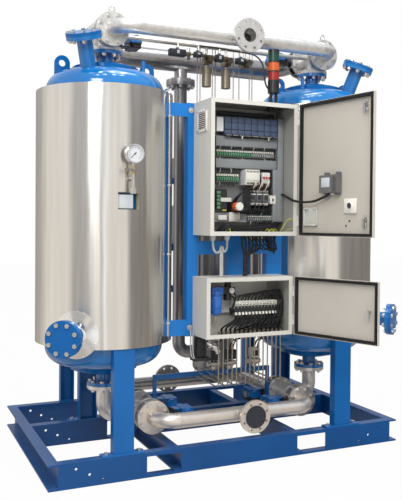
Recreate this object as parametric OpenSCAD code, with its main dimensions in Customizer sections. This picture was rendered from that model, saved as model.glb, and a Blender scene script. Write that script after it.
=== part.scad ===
// Twin-tower desiccant air dryer on a channel-steel skid.
// X runs along the skid, Y to the back, Z up; the origin is under the middle beam at mid-length.

/* [Skid] */
// Overall length of the skid
skid_l = 2302; // [2200:2:2500]
// Front face of the front beam, measured forward of the middle beam's axis
skid_front = 797; // [760:1:850]
// Rear face of the rear beam, measured behind the middle beam's axis
skid_rear = 537; // [500:1:600]
// Height of the channel beams
beam_h = 140; // [130:1:160]
// Flange width of the channel beams
beam_b = 60; // [55:1:65]

/* [Towers] */
// Distance of each tower axis from the middle of the skid
tower_x = 730; // [720:1:740]
// Distance of the tower axes in front of the middle beam
tower_front = 390; // [385:1:395]
// Outer radius of the pressure vessel
vessel_r = 350; // [345:1:352]
// Wall of the pressure vessel
vessel_t = 8; // [6:1:10]
// Outer radius of the stainless cladding
clad_r = 405; // [403:1:410]
// Lower edge of the cladding
clad_z0 = 730; // [720:1:745]
// Upper edge of the cladding
clad_z1 = 2190; // [2180:1:2200]

/* [Piping] */
// Outer radius of the process pipe
pipe_r = 44.45; // [42:0.05:46]
// Bore radius of the process pipe
bore_r = 41.25; // [40.5:0.05:41.5]
// Outer radius of the pipe flanges
flange_r = 100; // [95:1:105]
// Thickness of a pipe flange
flange_t = 20; // [18:1:22]
// Radius of the bolt circle
bolt_circle = 80; // [78:0.5:82]
// Height of the bottom piping
low_z = 265; // [255:1:275]

/* [Cabinets] */
// Width of both cabinets
cab_w = 570; // [560:1:580]
// Height of the upper cabinet
cab_h = 780; // [760:1:790]
// Depth of the upper cabinet
cab_d = 240; // [220:1:250]
// Height of the lower cabinet
low_cab_h = 351; // [330:1:360]
// Depth of the lower cabinet
low_cab_d = 200; // [180:1:210]
// Opening angle of the upper door
upper_open = 101; // [60:1:119]
// Opening angle of the lower door
lower_open = 111; // [60:1:119]

/* [Hidden] */
$fn = 64;

// Colours
blue = [0.16, 0.44, 0.74];
steel = [0.78, 0.79, 0.8];
zinc = [0.85, 0.85, 0.86];
cabinet_grey = [0.83, 0.82, 0.78];
dark = [0.08, 0.08, 0.09];
brass = [0.72, 0.58, 0.3];

// Skid
web_t = 7;
beam_t = 10;
end_x = skid_l / 2 - beam_b - 1;
beam_y = [-skid_front, -beam_b / 2, skid_rear - beam_b];
hole_row = [[1000, 103], [925, 64], [850, 27]];
hole_row_r = 7.5;
window_x = 388;
window_w = 208;
window_z = [14, 118];
cross_x = 375;
cross_b = 55;

// Towers
tower_y = -tower_front;
tangent_z = [700, 2200];
crown_ratio = 1.6;
knuckle_ratio = 0.308;
nozzle_flange_z = [455, 2424];
leg_w = 120;
leg_d = 55;
leg_out = 395;
leg_top = 1000;
leg_wall = 9;
foot_t = 10;
foot_w = 250;
foot_bolt_x = 95;
foot_y = [-skid_front + 2, -30];
foot_d = [60, 58];
foot_bolt_y = [-762, 8];
anchor_r = 9;
bolt_r = 8;
stub_r = 12;
side_az = 39;
fill_lean = 22;
fill_foot = [244, 2290];
fill_len = 172;
drain_z = 810;
drain_reach = 550;
sight_x = -713;
sight_w = 123;
sight_z = [1500, 1595];
arm_z = [[2056, 2133], [759, 854]];
arm_y = [-650, -640];

// Gauge stack
gauge_x = 705;
gauge_y = -850;
gauge_z = 1800;
gauge_case_r = 50;
tap_z = 1670;
cock_z = 1712;

// Top piping
tee_half = 88;
top_z = nozzle_flange_z[1] + 2 * flange_t + tee_half;
elbow_r = 114;
check_t = 22;
butterfly_t = 46;
outlet_x = 50;
riser_x = -50;
regen_y = 70;
regen_r = 70;
riser_flange_z = 2400;

// Bottom piping
low_tee_x = [-470, 568];
inlet_x = 100;
short_r = 76;
exhaust_y = 300;
exhaust_x = 0;

// Heater and blower
heater = [210, 70];
heater_r = 140;
heater_z = [416, 1900];
heater_port_z = 520;
blower = [55, 330, 1420];
blower_r = 140;
rack_x = 690;
rack_y = 480;
rack_w = 98;
rack_d = 50;
rail_z = [900, 1215, 1725, 2250];

// Cabinets
cab_x = -262;
cab_back = -650;
cab_z = 1357;
low_cab_z = 762;
sheet = 2.5;
rim = 24;
door_t = 20;
door_gap = 2;
hinge_out = 5;
hinge_y = 4;
pin_r = 3;
knuckle_r = 6;
plate_y = -672;
latch_in = 60;
latch_r = 8;
latch_reach = 46;
upper_latch_z = [2073, 1452];
lower_latch_z = 945;
running = 0.05;

// Signal tower
lamp = [232, -730];
lamp_r = 35;

// Tubes
tube_r = 4;
tube_n = 15;
tube_x = -140;
tube_pitch = 30;
tube_y = -760;
tube_z = 470;
tube_bend = 25;
rail_front = -400;

// Turns an upright shape to run along +X
module along_x() { rotate([0, 90, 0]) children(); }

// Turns an upright shape to run along +Y
module along_y() { rotate([-90, 0, 0]) children(); }

// Repeats a shape mirrored across the middle of the skid
module both_sides() {
  children();
  mirror([1, 0, 0]) children();
}

// Channel along +X, web at the front, flanges to the back
module channel(l, h, b, tw, tf) {
  difference() {
    cube([l, b, h]);
    translate([-1, tw, tf]) cube([l + 2, b, h - 2 * tf]);
  }
}

// Half outline of a dished head above its tangent line
module head_profile(r) {
  crown = crown_ratio * r;
  knuckle = knuckle_ratio * r;
  c = r - knuckle;
  drop = sqrt(pow(crown - knuckle, 2) - c * c);
  intersection() {
    union() {
      translate([c, 0]) circle(r = knuckle);
      square([c, knuckle]);
      intersection() {
        translate([0, -drop]) circle(r = crown);
        polygon([[0, -drop], [0, crown], [crown * c / drop, crown]]);
      }
    }
    square([r, crown]);
  }
}

// Closed drum with two dished heads, tangent lines at z0 and z1
module drum(r, z0, z1) {
  translate([0, 0, z1]) rotate_extrude() head_profile(r);
  translate([0, 0, z0]) cylinder(r = r, h = z1 - z0);
  translate([0, 0, z0]) mirror([0, 0, 1]) rotate_extrude() head_profile(r);
}

// Quarter bend from +X towards +Y about its own centre
module bend(r_bend, r) {
  rotate_extrude(angle = 90) translate([r_bend, 0]) circle(r = r);
}

// Eight holes or bolts on the bolt circle
module on_bolt_circle() {
  for (i = [0 : 7]) rotate(22.5 + 45 * i) translate([bolt_circle, 0, 0]) children();
}

// Flange plate from z = 0 upwards, with its bolt holes
module flange() {
  difference() {
    cylinder(r = flange_r, h = flange_t);
    on_bolt_circle() translate([0, 0, -1]) cylinder(r = anchor_r, h = flange_t + 2);
  }
}

// Hex bolt with nut, gripping from z = 0 to z = grip
module hex_bolt(grip) {
  translate([0, 0, -13]) cylinder(r = 13.5, h = 13, $fn = 6);
  translate([0, 0, -18]) cylinder(r = bolt_r, h = grip + 18);
  translate([0, 0, grip]) cylinder(r = 13.5, h = 10, $fn = 6);
}

module bolt_set(grip) { on_bolt_circle() hex_bolt(grip); }

// Places a tower's own frame, nozzles pointing outwards to the front on both towers
module at_tower(side) {
  translate([side * tower_x, tower_y, 0]) mirror([side < 0 ? 0 : 1, 0, 0]) children();
}

// Fill nozzle frame: leaning outwards over the front shoulder of the head
module at_fill() {
  rotate(-90 - side_az) translate([fill_foot[0], 0, fill_foot[1]]) rotate([0, fill_lean, 0]) children();
}

// Drain nozzle frame: level, just above the lower edge of the cladding
module at_drain() {
  rotate(-90 - side_az) translate([0, 0, drain_z]) rotate([0, 90, 0]) children();
}

// Skid

module skid_long_beams() {
  color(blue) for (i = [0 : 2]) difference() {
    translate([-end_x, beam_y[i], 0]) channel(2 * end_x, beam_h, beam_b, web_t, beam_t);
    both_sides() {
      for (h = hole_row) translate([h[0], beam_y[i] - 1, h[1]]) along_y()
        cylinder(r = hole_row_r, h = web_t + 2);
      translate([window_x, beam_y[i] - 1, window_z[0]])
        cube([window_w, web_t + 2, window_z[1] - window_z[0]]);
      for (s = [-1, 1], j = [0 : 1]) if (i == j)
        translate([tower_x + s * foot_bolt_x, foot_bolt_y[j], beam_h - beam_t - 1])
          cylinder(r = anchor_r, h = beam_t + 2);
    }
  }
}

module skid_cross_members() {
  color(blue) both_sides() {
    translate([end_x, skid_rear, 0]) rotate(-90)
      channel(skid_front + skid_rear, beam_h, beam_b, web_t, beam_t);
    cross_member(-skid_front + web_t, -beam_b / 2);
    cross_member(-beam_b / 2 + web_t, skid_rear - beam_b);
  }
}

module cross_member(y0, y1) {
  translate([cross_x, y1, beam_t]) rotate(-90)
    channel(y1 - y0, beam_h - 2 * beam_t, cross_b, web_t, beam_t);
}

// Towers

module vessel_outer() {
  drum(vessel_r, tangent_z[0], tangent_z[1]);
  translate([0, 0, nozzle_flange_z[0]]) cylinder(r = pipe_r, h = nozzle_flange_z[1] - nozzle_flange_z[0]);
  at_fill() cylinder(r = pipe_r, h = fill_len);
  at_drain() cylinder(r = pipe_r, h = drain_reach - flange_t);
  translate([tower_x - gauge_x, 0, tap_z]) rotate([90, 0, 0]) cylinder(r = 10, h = leg_out);
  rotate(-43) translate([245, 0, 2280]) cylinder(r = stub_r, h = 95);
}

module vessel_bores() {
  drum(vessel_r - vessel_t, tangent_z[0], tangent_z[1]);
  for (z = [nozzle_flange_z[0] - 1, tangent_z[1]])
    translate([0, 0, z]) cylinder(r = bore_r, h = nozzle_flange_z[1] + flange_t + 1 - tangent_z[1]);
  at_fill() cylinder(r = bore_r, h = fill_len + flange_t + 1);
  at_drain() cylinder(r = bore_r, h = drain_reach + 1);
}

// One pressure vessel; its fill and drain nozzles point outwards to the front
module vessel(side) {
  color(blue) at_tower(side) difference() {
    union() {
      vessel_outer();
      translate([0, 0, nozzle_flange_z[0]]) cylinder(r = flange_r, h = flange_t);
      translate([0, 0, nozzle_flange_z[1]]) cylinder(r = flange_r, h = flange_t);
      at_fill() translate([0, 0, fill_len]) cylinder(r = flange_r, h = flange_t);
      at_drain() translate([0, 0, drain_reach - flange_t]) cylinder(r = flange_r, h = flange_t);
    }
    vessel_bores();
    for (z = nozzle_flange_z) translate([0, 0, z]) flange_holes();
    at_fill() translate([0, 0, fill_len]) flange_holes();
    at_drain() translate([0, 0, drain_reach - flange_t]) flange_holes();
  }
}

module flange_holes() {
  on_bolt_circle() translate([0, 0, -1]) cylinder(r = anchor_r, h = flange_t + 2);
}

module left_vessel() { vessel(-1); }

module right_vessel() { vessel(1); }

// What passes through the cladding and the insulation, with a little room
module clad_passes() {
  at_drain() cylinder(r = pipe_r + 6, h = drain_reach);
  translate([tower_x - gauge_x, 0, tap_z]) rotate([90, 0, 0]) cylinder(r = 14, h = clad_r + 10);
  for (s = [-1, 1]) translate([-leg_w / 2 - 1, s > 0 ? leg_out - leg_d - 1 : -leg_out - 1, clad_z0 - 1])
    cube([leg_w + 2, leg_d + 2, leg_top - clad_z0 + 3]);
  for (z = arm_z) translate([0, arm_y[0] - tower_y - 2, z[0] - 2])
    cube([clad_r + 10, arm_y[1] - arm_y[0] + 4, z[1] - z[0] + 4]);
  translate([sight_x + tower_x - sight_w / 2, -clad_r - 5, sight_z[0]])
    cube([sight_w, clad_r - vessel_r + 20, sight_z[1] - sight_z[0]]);
}

// Stainless sheet wrapped round each tower, closed by flat rings at both ends
module claddings() {
  color(steel) for (side = [-1, 1]) at_tower(side) difference() {
    translate([0, 0, clad_z0]) cylinder(r = clad_r, h = clad_z1 - clad_z0, $fn = 128);
    translate([0, 0, clad_z0 + 2]) cylinder(r = clad_r - 2, h = clad_z1 - clad_z0 - 4, $fn = 128);
    translate([0, 0, clad_z0 - 1]) cylinder(r = vessel_r + 0.5, h = clad_z1 - clad_z0 + 2);
    clad_passes();
  }
}

module insulation_jackets() {
  color("khaki") for (side = [-1, 1]) at_tower(side) difference() {
    translate([0, 0, clad_z0 + 2.5]) cylinder(r = clad_r - 2.5, h = clad_z1 - clad_z0 - 5);
    translate([0, 0, clad_z0]) cylinder(r = vessel_r + 0.5, h = clad_z1 - clad_z0);
    clad_passes();
  }
}

// Packed bed from the lower head up to just under the upper head
module desiccant_beds() {
  color("white") for (side = [-1, 1]) at_tower(side) intersection() {
    drum(vessel_r - vessel_t - 0.2, tangent_z[0], tangent_z[1]);
    translate([-vessel_r, -vessel_r, 0]) cube([2 * vessel_r, 2 * vessel_r, tangent_z[1] - 60]);
  }
}

// Channel legs with foot plates, fitted to the vessel wall
module tower_legs() {
  color(blue) both_sides() for (j = [0, 1]) difference() {
    union() {
      translate([tower_x, tower_y, 0]) mirror([0, j, 0]) difference() {
        translate([-leg_w / 2, -leg_out, beam_h + foot_t]) cube([leg_w, leg_d, leg_top - beam_h - foot_t]);
        translate([leg_wall - leg_w / 2, web_t - leg_out, beam_h])
          cube([leg_w - 2 * leg_wall, leg_d, leg_top]);
      }
      translate([tower_x - foot_w / 2, foot_y[j], beam_h]) cube([foot_w, foot_d[j], foot_t]);
    }
    translate([tower_x, tower_y, 0]) drum(vessel_r + 0.1, tangent_z[0], tangent_z[1]);
    for (s = [-1, 1]) translate([tower_x + s * foot_bolt_x, foot_bolt_y[j], beam_h - 1])
      cylinder(r = anchor_r, h = foot_t + 2);
  }
}

// Blind flanges on the fill and drain nozzles
module blind_flanges() {
  color(blue) for (side = [-1, 1]) at_tower(side) {
    at_fill() translate([0, 0, fill_len + flange_t]) flange();
    at_drain() translate([0, 0, drain_reach]) flange();
  }
}

lug_x = 262;
lug_z = 2355;
lug_hole_r = 20;

// Lifting lugs on both shoulders of each head
module lifting_lugs() {
  color(blue) for (side = [-1, 1]) translate([side * tower_x, tower_y, 0]) both_sides() difference() {
    translate([lug_x, 7.5, lug_z]) rotate([90, 0, 0]) union() {
      cylinder(r = 45, h = 15);
      translate([-45, -90, 0]) cube([90, 90, 15]);
    }
    translate([lug_x, 10, lug_z]) rotate([90, 0, 0]) cylinder(r = lug_hole_r, h = 20);
    drum(vessel_r + 0.1, tangent_z[0], tangent_z[1]);
  }
}

// Bolts at every flange joint and foot plate
module bolts() {
  two = 2 * flange_t;
  color(zinc) {
    for (side = [-1, 1]) at_tower(side) {
      translate([0, 0, nozzle_flange_z[0] - flange_t]) bolt_set(two);
      translate([0, 0, nozzle_flange_z[1]]) bolt_set(two);
      at_fill() translate([0, 0, fill_len]) bolt_set(two);
      at_drain() translate([0, 0, drain_reach - flange_t]) bolt_set(two);
      translate([0, -tee_half - two - check_t, top_z]) along_y() bolt_set(two + check_t);
      translate([0, tee_half, top_z]) along_y() bolt_set(two + butterfly_t);
    }
    for (x = low_tee_x) translate([x, tower_y, low_z]) {
      translate([0, -tee_half - two - butterfly_t, 0]) along_y() bolt_set(two + butterfly_t);
      translate([0, tee_half, 0]) along_y() bolt_set(two + butterfly_t);
    }
    translate([riser_x, regen_y, riser_flange_z - flange_t]) bolt_set(two);
    both_sides() for (s = [-1, 1], j = [0 : 1])
      translate([tower_x + s * foot_bolt_x, foot_bolt_y[j], beam_h - beam_t]) hex_bolt(beam_t + foot_t);
  }
}

// Gauge stacks

module gauge_stacks() {
  color(brass) both_sides() translate([-gauge_x, gauge_y, 0]) difference() {
    union() {
      translate([0, 10, gauge_z]) rotate([90, 0, 0]) cylinder(r = gauge_case_r, h = 36);
      translate([0, 0, cock_z]) cylinder(r = 8, h = gauge_z - gauge_case_r + 2 - cock_z);
      translate([0, 0, cock_z - 20]) cylinder(r = 16, h = 40);
      translate([0, 0, cock_z]) rotate([90, 0, 0]) cylinder(r = 9, h = 24);
      translate([0, 0, tap_z - 20]) cylinder(r = 12, h = cock_z - tap_z);
      translate([0, 0, tap_z]) along_y() cylinder(r = 12, h = tower_y - leg_out - gauge_y);
      translate([0, 0, tap_z - 75]) cylinder(r = 14, h = 60);
      translate([0, 0, tap_z - 85]) cylinder(r = 18, h = 30, $fn = 6);
    }
    translate([0, -22, gauge_z]) rotate([90, 0, 0]) cylinder(r = gauge_case_r - 5, h = 10);
    translate([0, -15, gauge_z]) rotate([90, 0, 0]) cylinder(r = 2 + running, h = 10);
    translate([0, -5, cock_z]) rotate([90, 0, 0]) cylinder(r = 4 + running, h = 30);
  }
}

// Needle just in front of the dial, its pivot in the dial's middle
module gauge_needle(side) {
  color(dark) translate([side * gauge_x, gauge_y - 22.5, gauge_z]) rotate([90, 0, 0]) {
    cylinder(r = 5, h = 1.5);
    translate([0, 0, -6]) cylinder(r = 2, h = 7);
    rotate(135) translate([-1.5, -12, 0]) cube([3, 48, 1.5]);
  }
}

module left_gauge_needle() { gauge_needle(-1); }

module right_gauge_needle() { gauge_needle(1); }

// Lever of the gauge cock, on a stem in front of the valve body
module cock_lever(side) {
  color("firebrick") translate([side * gauge_x, gauge_y - 24.3, cock_z]) rotate([90, 0, 0]) {
    translate([0, 0, -18]) cylinder(r = 4, h = 20);
    cylinder(r = 9, h = 5);
    mirror([side < 0 ? 1 : 0, 0, 0]) translate([0, -6, 1]) cube([58, 12, 4]);
  }
}

module left_cock_lever() { cock_lever(-1); }

module right_cock_lever() { cock_lever(1); }

// Top piping

module top_tees() {
  color(steel) for (side = [-1, 1]) translate([side * tower_x, tower_y, top_z]) difference() {
    union() {
      translate([0, -tee_half, 0]) along_y() cylinder(r = pipe_r, h = 2 * tee_half);
      translate([0, 0, -tee_half]) cylinder(r = pipe_r, h = tee_half);
      translate([0, -tee_half - flange_t, 0]) along_y() flange();
      translate([0, tee_half, 0]) along_y() flange();
      translate([0, 0, -tee_half - flange_t]) flange();
    }
    translate([0, -tee_half - flange_t - 1, 0]) along_y()
      cylinder(r = bore_r, h = 2 * (tee_half + flange_t + 1));
    translate([0, 0, -tee_half - flange_t - 1]) cylinder(r = bore_r, h = tee_half + flange_t + 1);
  }
}

check_y = tower_y - tee_half - flange_t - check_t;
outlet_flange_y = check_y - flange_t;
outlet_y = outlet_flange_y - elbow_r;
outlet_face = tee_half + flange_t;

module outlet_run(r, over) {
  both_sides() {
    translate([tower_x - elbow_r, outlet_flange_y, top_z]) rotate(-90) bend(elbow_r, r);
    translate([tower_x, outlet_flange_y, top_z]) along_y() cylinder(r = r, h = flange_t + over);
  }
  translate([elbow_r - tower_x, outlet_y, top_z]) along_x() cylinder(r = r, h = 2 * (tower_x - elbow_r));
  translate([outlet_x, outlet_y - outlet_face - over, top_z]) along_y()
    cylinder(r = r, h = outlet_face + over);
}

module outlet_header() {
  color(steel) difference() {
    union() {
      outlet_run(pipe_r, 0);
      both_sides() translate([tower_x, outlet_flange_y, top_z]) along_y() flange();
      translate([outlet_x, outlet_y - outlet_face, top_z]) along_y() flange();
    }
    outlet_run(bore_r, 1);
  }
}

regen_flange_y = tower_y + tee_half + flange_t + butterfly_t;
regen_pipe_y = regen_y - elbow_r;

module regen_run(r, over) {
  both_sides() {
    translate([tower_x - elbow_r, regen_pipe_y, top_z]) bend(elbow_r, r);
    translate([tower_x, regen_flange_y - over, top_z]) along_y()
      cylinder(r = r, h = regen_pipe_y - regen_flange_y + over);
  }
  translate([elbow_r - tower_x, regen_y, top_z]) along_x() cylinder(r = r, h = 2 * (tower_x - elbow_r));
  translate([riser_x, regen_y, riser_flange_z - over]) cylinder(r = r, h = top_z - riser_flange_z + over);
}

// Regeneration header with its clad middle length
module regen_header() {
  color(steel) difference() {
    union() {
      regen_run(pipe_r, 0);
      both_sides() translate([tower_x, regen_flange_y, top_z]) along_y() flange();
      translate([riser_x, regen_y, riser_flange_z]) flange();
      translate([elbow_r - tower_x, regen_y, top_z]) along_x()
        cylinder(r = regen_r, h = 2 * (tower_x - elbow_r));
    }
    regen_run(bore_r, 1);
  }
}

flap_r = 33;
flap_pin_z = 33;
flap_pin_r = 3;
check_body_r = 70;

// Swing check valve bodies with an eye bolt on top
module check_valve_bodies() {
  color("dimgray") for (side = [-1, 1]) translate([side * tower_x, check_y, top_z]) {
    difference() {
      union() {
        along_y() cylinder(r = check_body_r, h = check_t);
        translate([0, check_t / 2, 0]) cylinder(r = 6, h = check_body_r + 36);
        translate([0, check_t / 2 - 3, check_body_r + 50]) along_y() rotate_extrude()
          translate([16, 0]) circle(r = 4);
      }
      translate([0, -1, 0]) along_y() cylinder(r = bore_r, h = check_t - 5);
      translate([0, -1, 0]) along_y() cylinder(r = flap_r - 5, h = check_t + 2);
      translate([-31, 9.5, flap_pin_z]) along_x() cylinder(r = flap_pin_r + running, h = 62);
    }
  }
}

module check_flap(side) {
  color("silver") translate([side * tower_x, check_y, top_z]) {
    translate([0, 10.7, 0]) along_y() cylinder(r = flap_r, h = 5);
    translate([-10, 9.5, flap_pin_z]) along_x() cylinder(r = 5, h = 20);
    translate([-10, 10.7, flap_pin_z - 12]) cube([20, 4, 12]);
    translate([-30, 9.5, flap_pin_z]) along_x() cylinder(r = flap_pin_r, h = 60);
  }
}

module left_check_flap() { check_flap(-1); }

module right_check_flap() { check_flap(1); }

// Butterfly valves; the pipe runs along Y and the stem along X towards the middle of the skid
valve_back_y = tower_y + tee_half + flange_t + butterfly_t / 2;
valve_front_y = tower_y - tee_half - flange_t - butterfly_t / 2;
valve_ring_r = 66;
stem_r = 6;
stem_end = 262;
neck_top = 138;
box_x = [178, 253];

module at_valve(x, y, z) {
  translate([x, y, z]) mirror([x > 0 ? 1 : 0, 0, 0]) children();
}

module at_valves() {
  for (x = low_tee_x) {
    at_valve(x, valve_front_y, low_z) children();
    at_valve(x, valve_back_y, low_z) children();
  }
  for (x = [-tower_x, tower_x]) at_valve(x, valve_back_y, top_z) children();
}

module valve_bodies() {
  color(dark) at_valves() difference() {
    union() {
      translate([0, -butterfly_t / 2, 0]) along_y() cylinder(r = valve_ring_r, h = butterfly_t);
      along_x() cylinder(r = 16, h = neck_top - 4);
      translate([neck_top - 8, -35, -35]) cube([8, 70, 70]);
    }
    translate([0, -butterfly_t, 0]) along_y() cylinder(r = bore_r, h = 2 * butterfly_t);
    translate([-62, 0, 0]) along_x() cylinder(r = stem_r + running, h = 62 + neck_top + 1);
  }
}

// Quarter-turn pneumatic actuators on a two-plate bracket
module valve_actuators() {
  color(blue) at_valves() difference() {
    union() {
      for (z = [-35, 29]) translate([neck_top, -30, z]) cube([box_x[0] - neck_top + 2, 60, 6]);
      translate([box_x[0], -52, -38]) cube([box_x[1] - box_x[0], 104, 76]);
      translate([(box_x[0] + box_x[1]) / 2, -75, 0]) along_y() cylinder(r = 36, h = 150);
    }
    translate([box_x[0] - 1, 0, 0]) along_x() cylinder(r = stem_r + running, h = box_x[1] - box_x[0] + 2);
  }
}

// Disc, stem and the position puck that shows on the actuator's end
module butterfly_disc(x, y, z) {
  color("silver") at_valve(x, y, z) {
    translate([0, -4, 0]) along_y() cylinder(r = 40, h = 8);
    translate([-60, 0, 0]) along_x() cylinder(r = stem_r, h = 60 + stem_end);
    translate([box_x[1] + 0.5, 0, 0]) along_x() cylinder(r = 22, h = 10);
    translate([box_x[1] + 5, -4, -20]) cube([12, 8, 40]);
  }
}

module left_inlet_disc() { butterfly_disc(low_tee_x[0], valve_front_y, low_z); }

module right_inlet_disc() { butterfly_disc(low_tee_x[1], valve_front_y, low_z); }

module left_exhaust_disc() { butterfly_disc(low_tee_x[0], valve_back_y, low_z); }

module right_exhaust_disc() { butterfly_disc(low_tee_x[1], valve_back_y, low_z); }

module left_regen_disc() { butterfly_disc(-tower_x, valve_back_y, top_z); }

module right_regen_disc() { butterfly_disc(tower_x, valve_back_y, top_z); }

// Bottom piping

spool_top = nozzle_flange_z[0] - flange_t;

module spool_run(i, r, over) {
  x = low_tee_x[i];
  s = i == 0 ? -1 : 1;
  translate([x, tower_y - tee_half - flange_t - over, low_z]) along_y()
    cylinder(r = r, h = 2 * (tee_half + flange_t + over));
  translate([min(x, s * (tower_x - short_r)), tower_y, low_z]) along_x()
    cylinder(r = r, h = abs(s * (tower_x - short_r) - x));
  translate([s * tower_x, tower_y, low_z + short_r])
    cylinder(r = r, h = spool_top + flange_t - low_z - short_r + over);
  mirror([s < 0 ? 1 : 0, 0, 0]) translate([tower_x - short_r, tower_y, low_z + short_r])
    rotate([90, 0, 0]) rotate(-90) bend(short_r, r);
}

module bottom_spools() {
  color(steel) for (i = [0, 1]) difference() {
    union() {
      spool_run(i, pipe_r, -flange_t);
      translate([low_tee_x[i], tower_y - tee_half - flange_t, low_z]) along_y() flange();
      translate([low_tee_x[i], tower_y + tee_half, low_z]) along_y() flange();
      translate([(i == 0 ? -1 : 1) * tower_x, tower_y, spool_top]) flange();
    }
    spool_run(i, bore_r, 1);
  }
}

inlet_flange_y = tower_y - tee_half - 2 * flange_t - butterfly_t;
inlet_y = inlet_flange_y - elbow_r;

module inlet_run(r, over) {
  translate([low_tee_x[0] + elbow_r, inlet_flange_y, low_z]) rotate(180) bend(elbow_r, r);
  translate([low_tee_x[1] - elbow_r, inlet_flange_y, low_z]) rotate(-90) bend(elbow_r, r);
  for (x = low_tee_x) translate([x, inlet_flange_y, low_z]) along_y() cylinder(r = r, h = flange_t + over);
  translate([low_tee_x[0] + elbow_r, inlet_y, low_z]) along_x()
    cylinder(r = r, h = low_tee_x[1] - low_tee_x[0] - 2 * elbow_r);
  translate([inlet_x, inlet_y - outlet_face - over, low_z]) along_y()
    cylinder(r = r, h = outlet_face + over);
}

module inlet_header() {
  color(steel) difference() {
    union() {
      inlet_run(pipe_r, 0);
      for (x = low_tee_x) translate([x, inlet_flange_y, low_z]) along_y() flange();
      translate([inlet_x, inlet_y - outlet_face, low_z]) along_y() flange();
    }
    inlet_run(bore_r, 1);
  }
}

// Push-in cover over the bore of the inlet flange
module inlet_cover() {
  color(dark) translate([inlet_x, inlet_y - outlet_face, low_z]) along_y() {
    translate([0, 0, -4]) cylinder(r = 68, h = 4);
    cylinder(r = bore_r - 0.2, h = 15);
  }
}

exhaust_flange_y = tower_y + tee_half + flange_t + butterfly_t;

module exhaust_run(r, over) {
  for (i = [0, 1]) translate([low_tee_x[i], 0, low_z]) {
    mirror([i == 0 ? 1 : 0, 0, 0]) translate([-elbow_r, exhaust_y - elbow_r, 0]) bend(elbow_r, r);
    translate([0, exhaust_flange_y - over, 0]) along_y()
      cylinder(r = r, h = exhaust_y - elbow_r - exhaust_flange_y + over);
  }
  translate([low_tee_x[0] + elbow_r, exhaust_y, low_z]) along_x()
    cylinder(r = r, h = low_tee_x[1] - low_tee_x[0] - 2 * elbow_r);
  translate([exhaust_x, exhaust_y + outlet_face + over, low_z]) rotate([90, 0, 0])
    cylinder(r = r, h = outlet_face + over);
}

module exhaust_manifold() {
  color(steel) difference() {
    union() {
      exhaust_run(pipe_r, 0);
      for (x = low_tee_x) translate([x, exhaust_flange_y, low_z]) along_y() flange();
      translate([exhaust_x, exhaust_y + outlet_face - flange_t, low_z]) along_y() flange();
    }
    exhaust_run(bore_r, 1);
  }
}

// Heater, blower and racks

module riser_run(r, over) {
  translate([riser_x, regen_y, heater_port_z + short_r])
    cylinder(r = r, h = riser_flange_z - heater_port_z - short_r + over);
  translate([riser_x + short_r, regen_y, heater_port_z + short_r]) rotate([90, 0, 0]) rotate(180)
    bend(short_r, r);
  translate([riser_x + short_r, regen_y, heater_port_z]) along_x()
    cylinder(r = r, h = heater[0] - riser_x - short_r);
}

// Clad heater vessel with its outlet riser and the terminal head on top
module heater_vessel() {
  color(steel) difference() {
    union() {
      translate([heater[0], heater[1], 0]) {
        drum(heater_r, heater_z[0], heater_z[1]);
        translate([0, 0, heater_z[1]]) cylinder(r = 100, h = 110);
        translate([0, 0, heater_z[1] + 100]) cylinder(r = 130, h = 40);
        translate([0, 0, heater_z[1] + 140]) cylinder(r = 85, h = 90);
      }
      riser_run(pipe_r, 0);
      translate([riser_x, regen_y, riser_flange_z - flange_t]) flange();
    }
    translate([heater[0], heater[1], 0]) drum(heater_r - 6, heater_z[0], heater_z[1]);
    riser_run(bore_r, 1);
  }
}

blower_pipe_r = 25;
blower_bend = 50;
blower_port_z = 109;

// Side-channel blower: round casing, finned motor, intake filter and outlet pipe
module regeneration_blower() {
  color("slategray") translate(blower) difference() {
    union() {
      translate([-55, 0, 0]) along_x() cylinder(r = blower_r - 20, h = 110);
      translate([-40, 0, 0]) along_x() cylinder(r = blower_r, h = 80);
      along_x() cylinder(r = 70, h = 260);
      for (i = [0 : 11]) translate([75 + 15 * i, 0, 0]) along_x() cylinder(r = 80, h = 6);
      translate([-40, -60, -blower_r - 5]) cube([80, 120, 60]);
      cylinder(r = 28, h = 345);
      translate([0, 0, 340]) cylinder(r = 75, h = 140);
      translate([0, 0, blower_port_z]) along_x()
        cylinder(r = blower_pipe_r, h = heater[0] - blower[0] - blower_bend);
      translate([heater[0] - blower[0] - blower_bend, -blower_bend, blower_port_z])
        bend(blower_bend, blower_pipe_r);
      translate([heater[0] - blower[0], -150, blower_port_z]) along_y()
        cylinder(r = blower_pipe_r, h = 150 - blower_bend);
    }
    translate([heater[0] - blower[0], heater[1] - blower[1], -200]) cylinder(r = heater_r, h = 600);
  }
}

// Rear rack with rails, heater brackets and blower shelf, and the tube rack at the front
module pipe_supports() {
  color(blue) {
    difference() {
      union() {
        both_sides() translate([rack_x, rack_y, beam_h]) cube([rack_w, rack_d, rail_z[3] + 50 - beam_h]);
        for (z = rail_z) translate([-rack_x - 1, rack_y, z]) cube([2 * rack_x + 2, rack_d, 50]);
        for (z = [rail_z[0], rail_z[2]]) translate([heater[0] - 30, heater[1], z + 20])
          cube([60, rack_y + 1 - heater[1], 10]);
        translate([-60, 255, rail_z[1] + 50]) cube([400, rack_y + rack_d - 255, 10]);
      }
      translate([heater[0], heater[1], 0]) cylinder(r = heater_r, h = heater_z[1] + 200);
      both_sides() translate([rack_x + web_t, rack_y - 1, beam_h + 12])
        cube([rack_w - 2 * web_t, rack_d - web_t + 1, rail_z[3]]);
    }
    translate([-412, rail_front, 450]) cube([824, 20, 30]);
    both_sides() translate([392, rail_front, beam_h - beam_t]) cube([20, 20, 330]);
  }
}

post_x = [[-300, 72], [-27, 117], [240, 106]];
post_z = [753, 2139];
post_y = [cab_back, -595];

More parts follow.
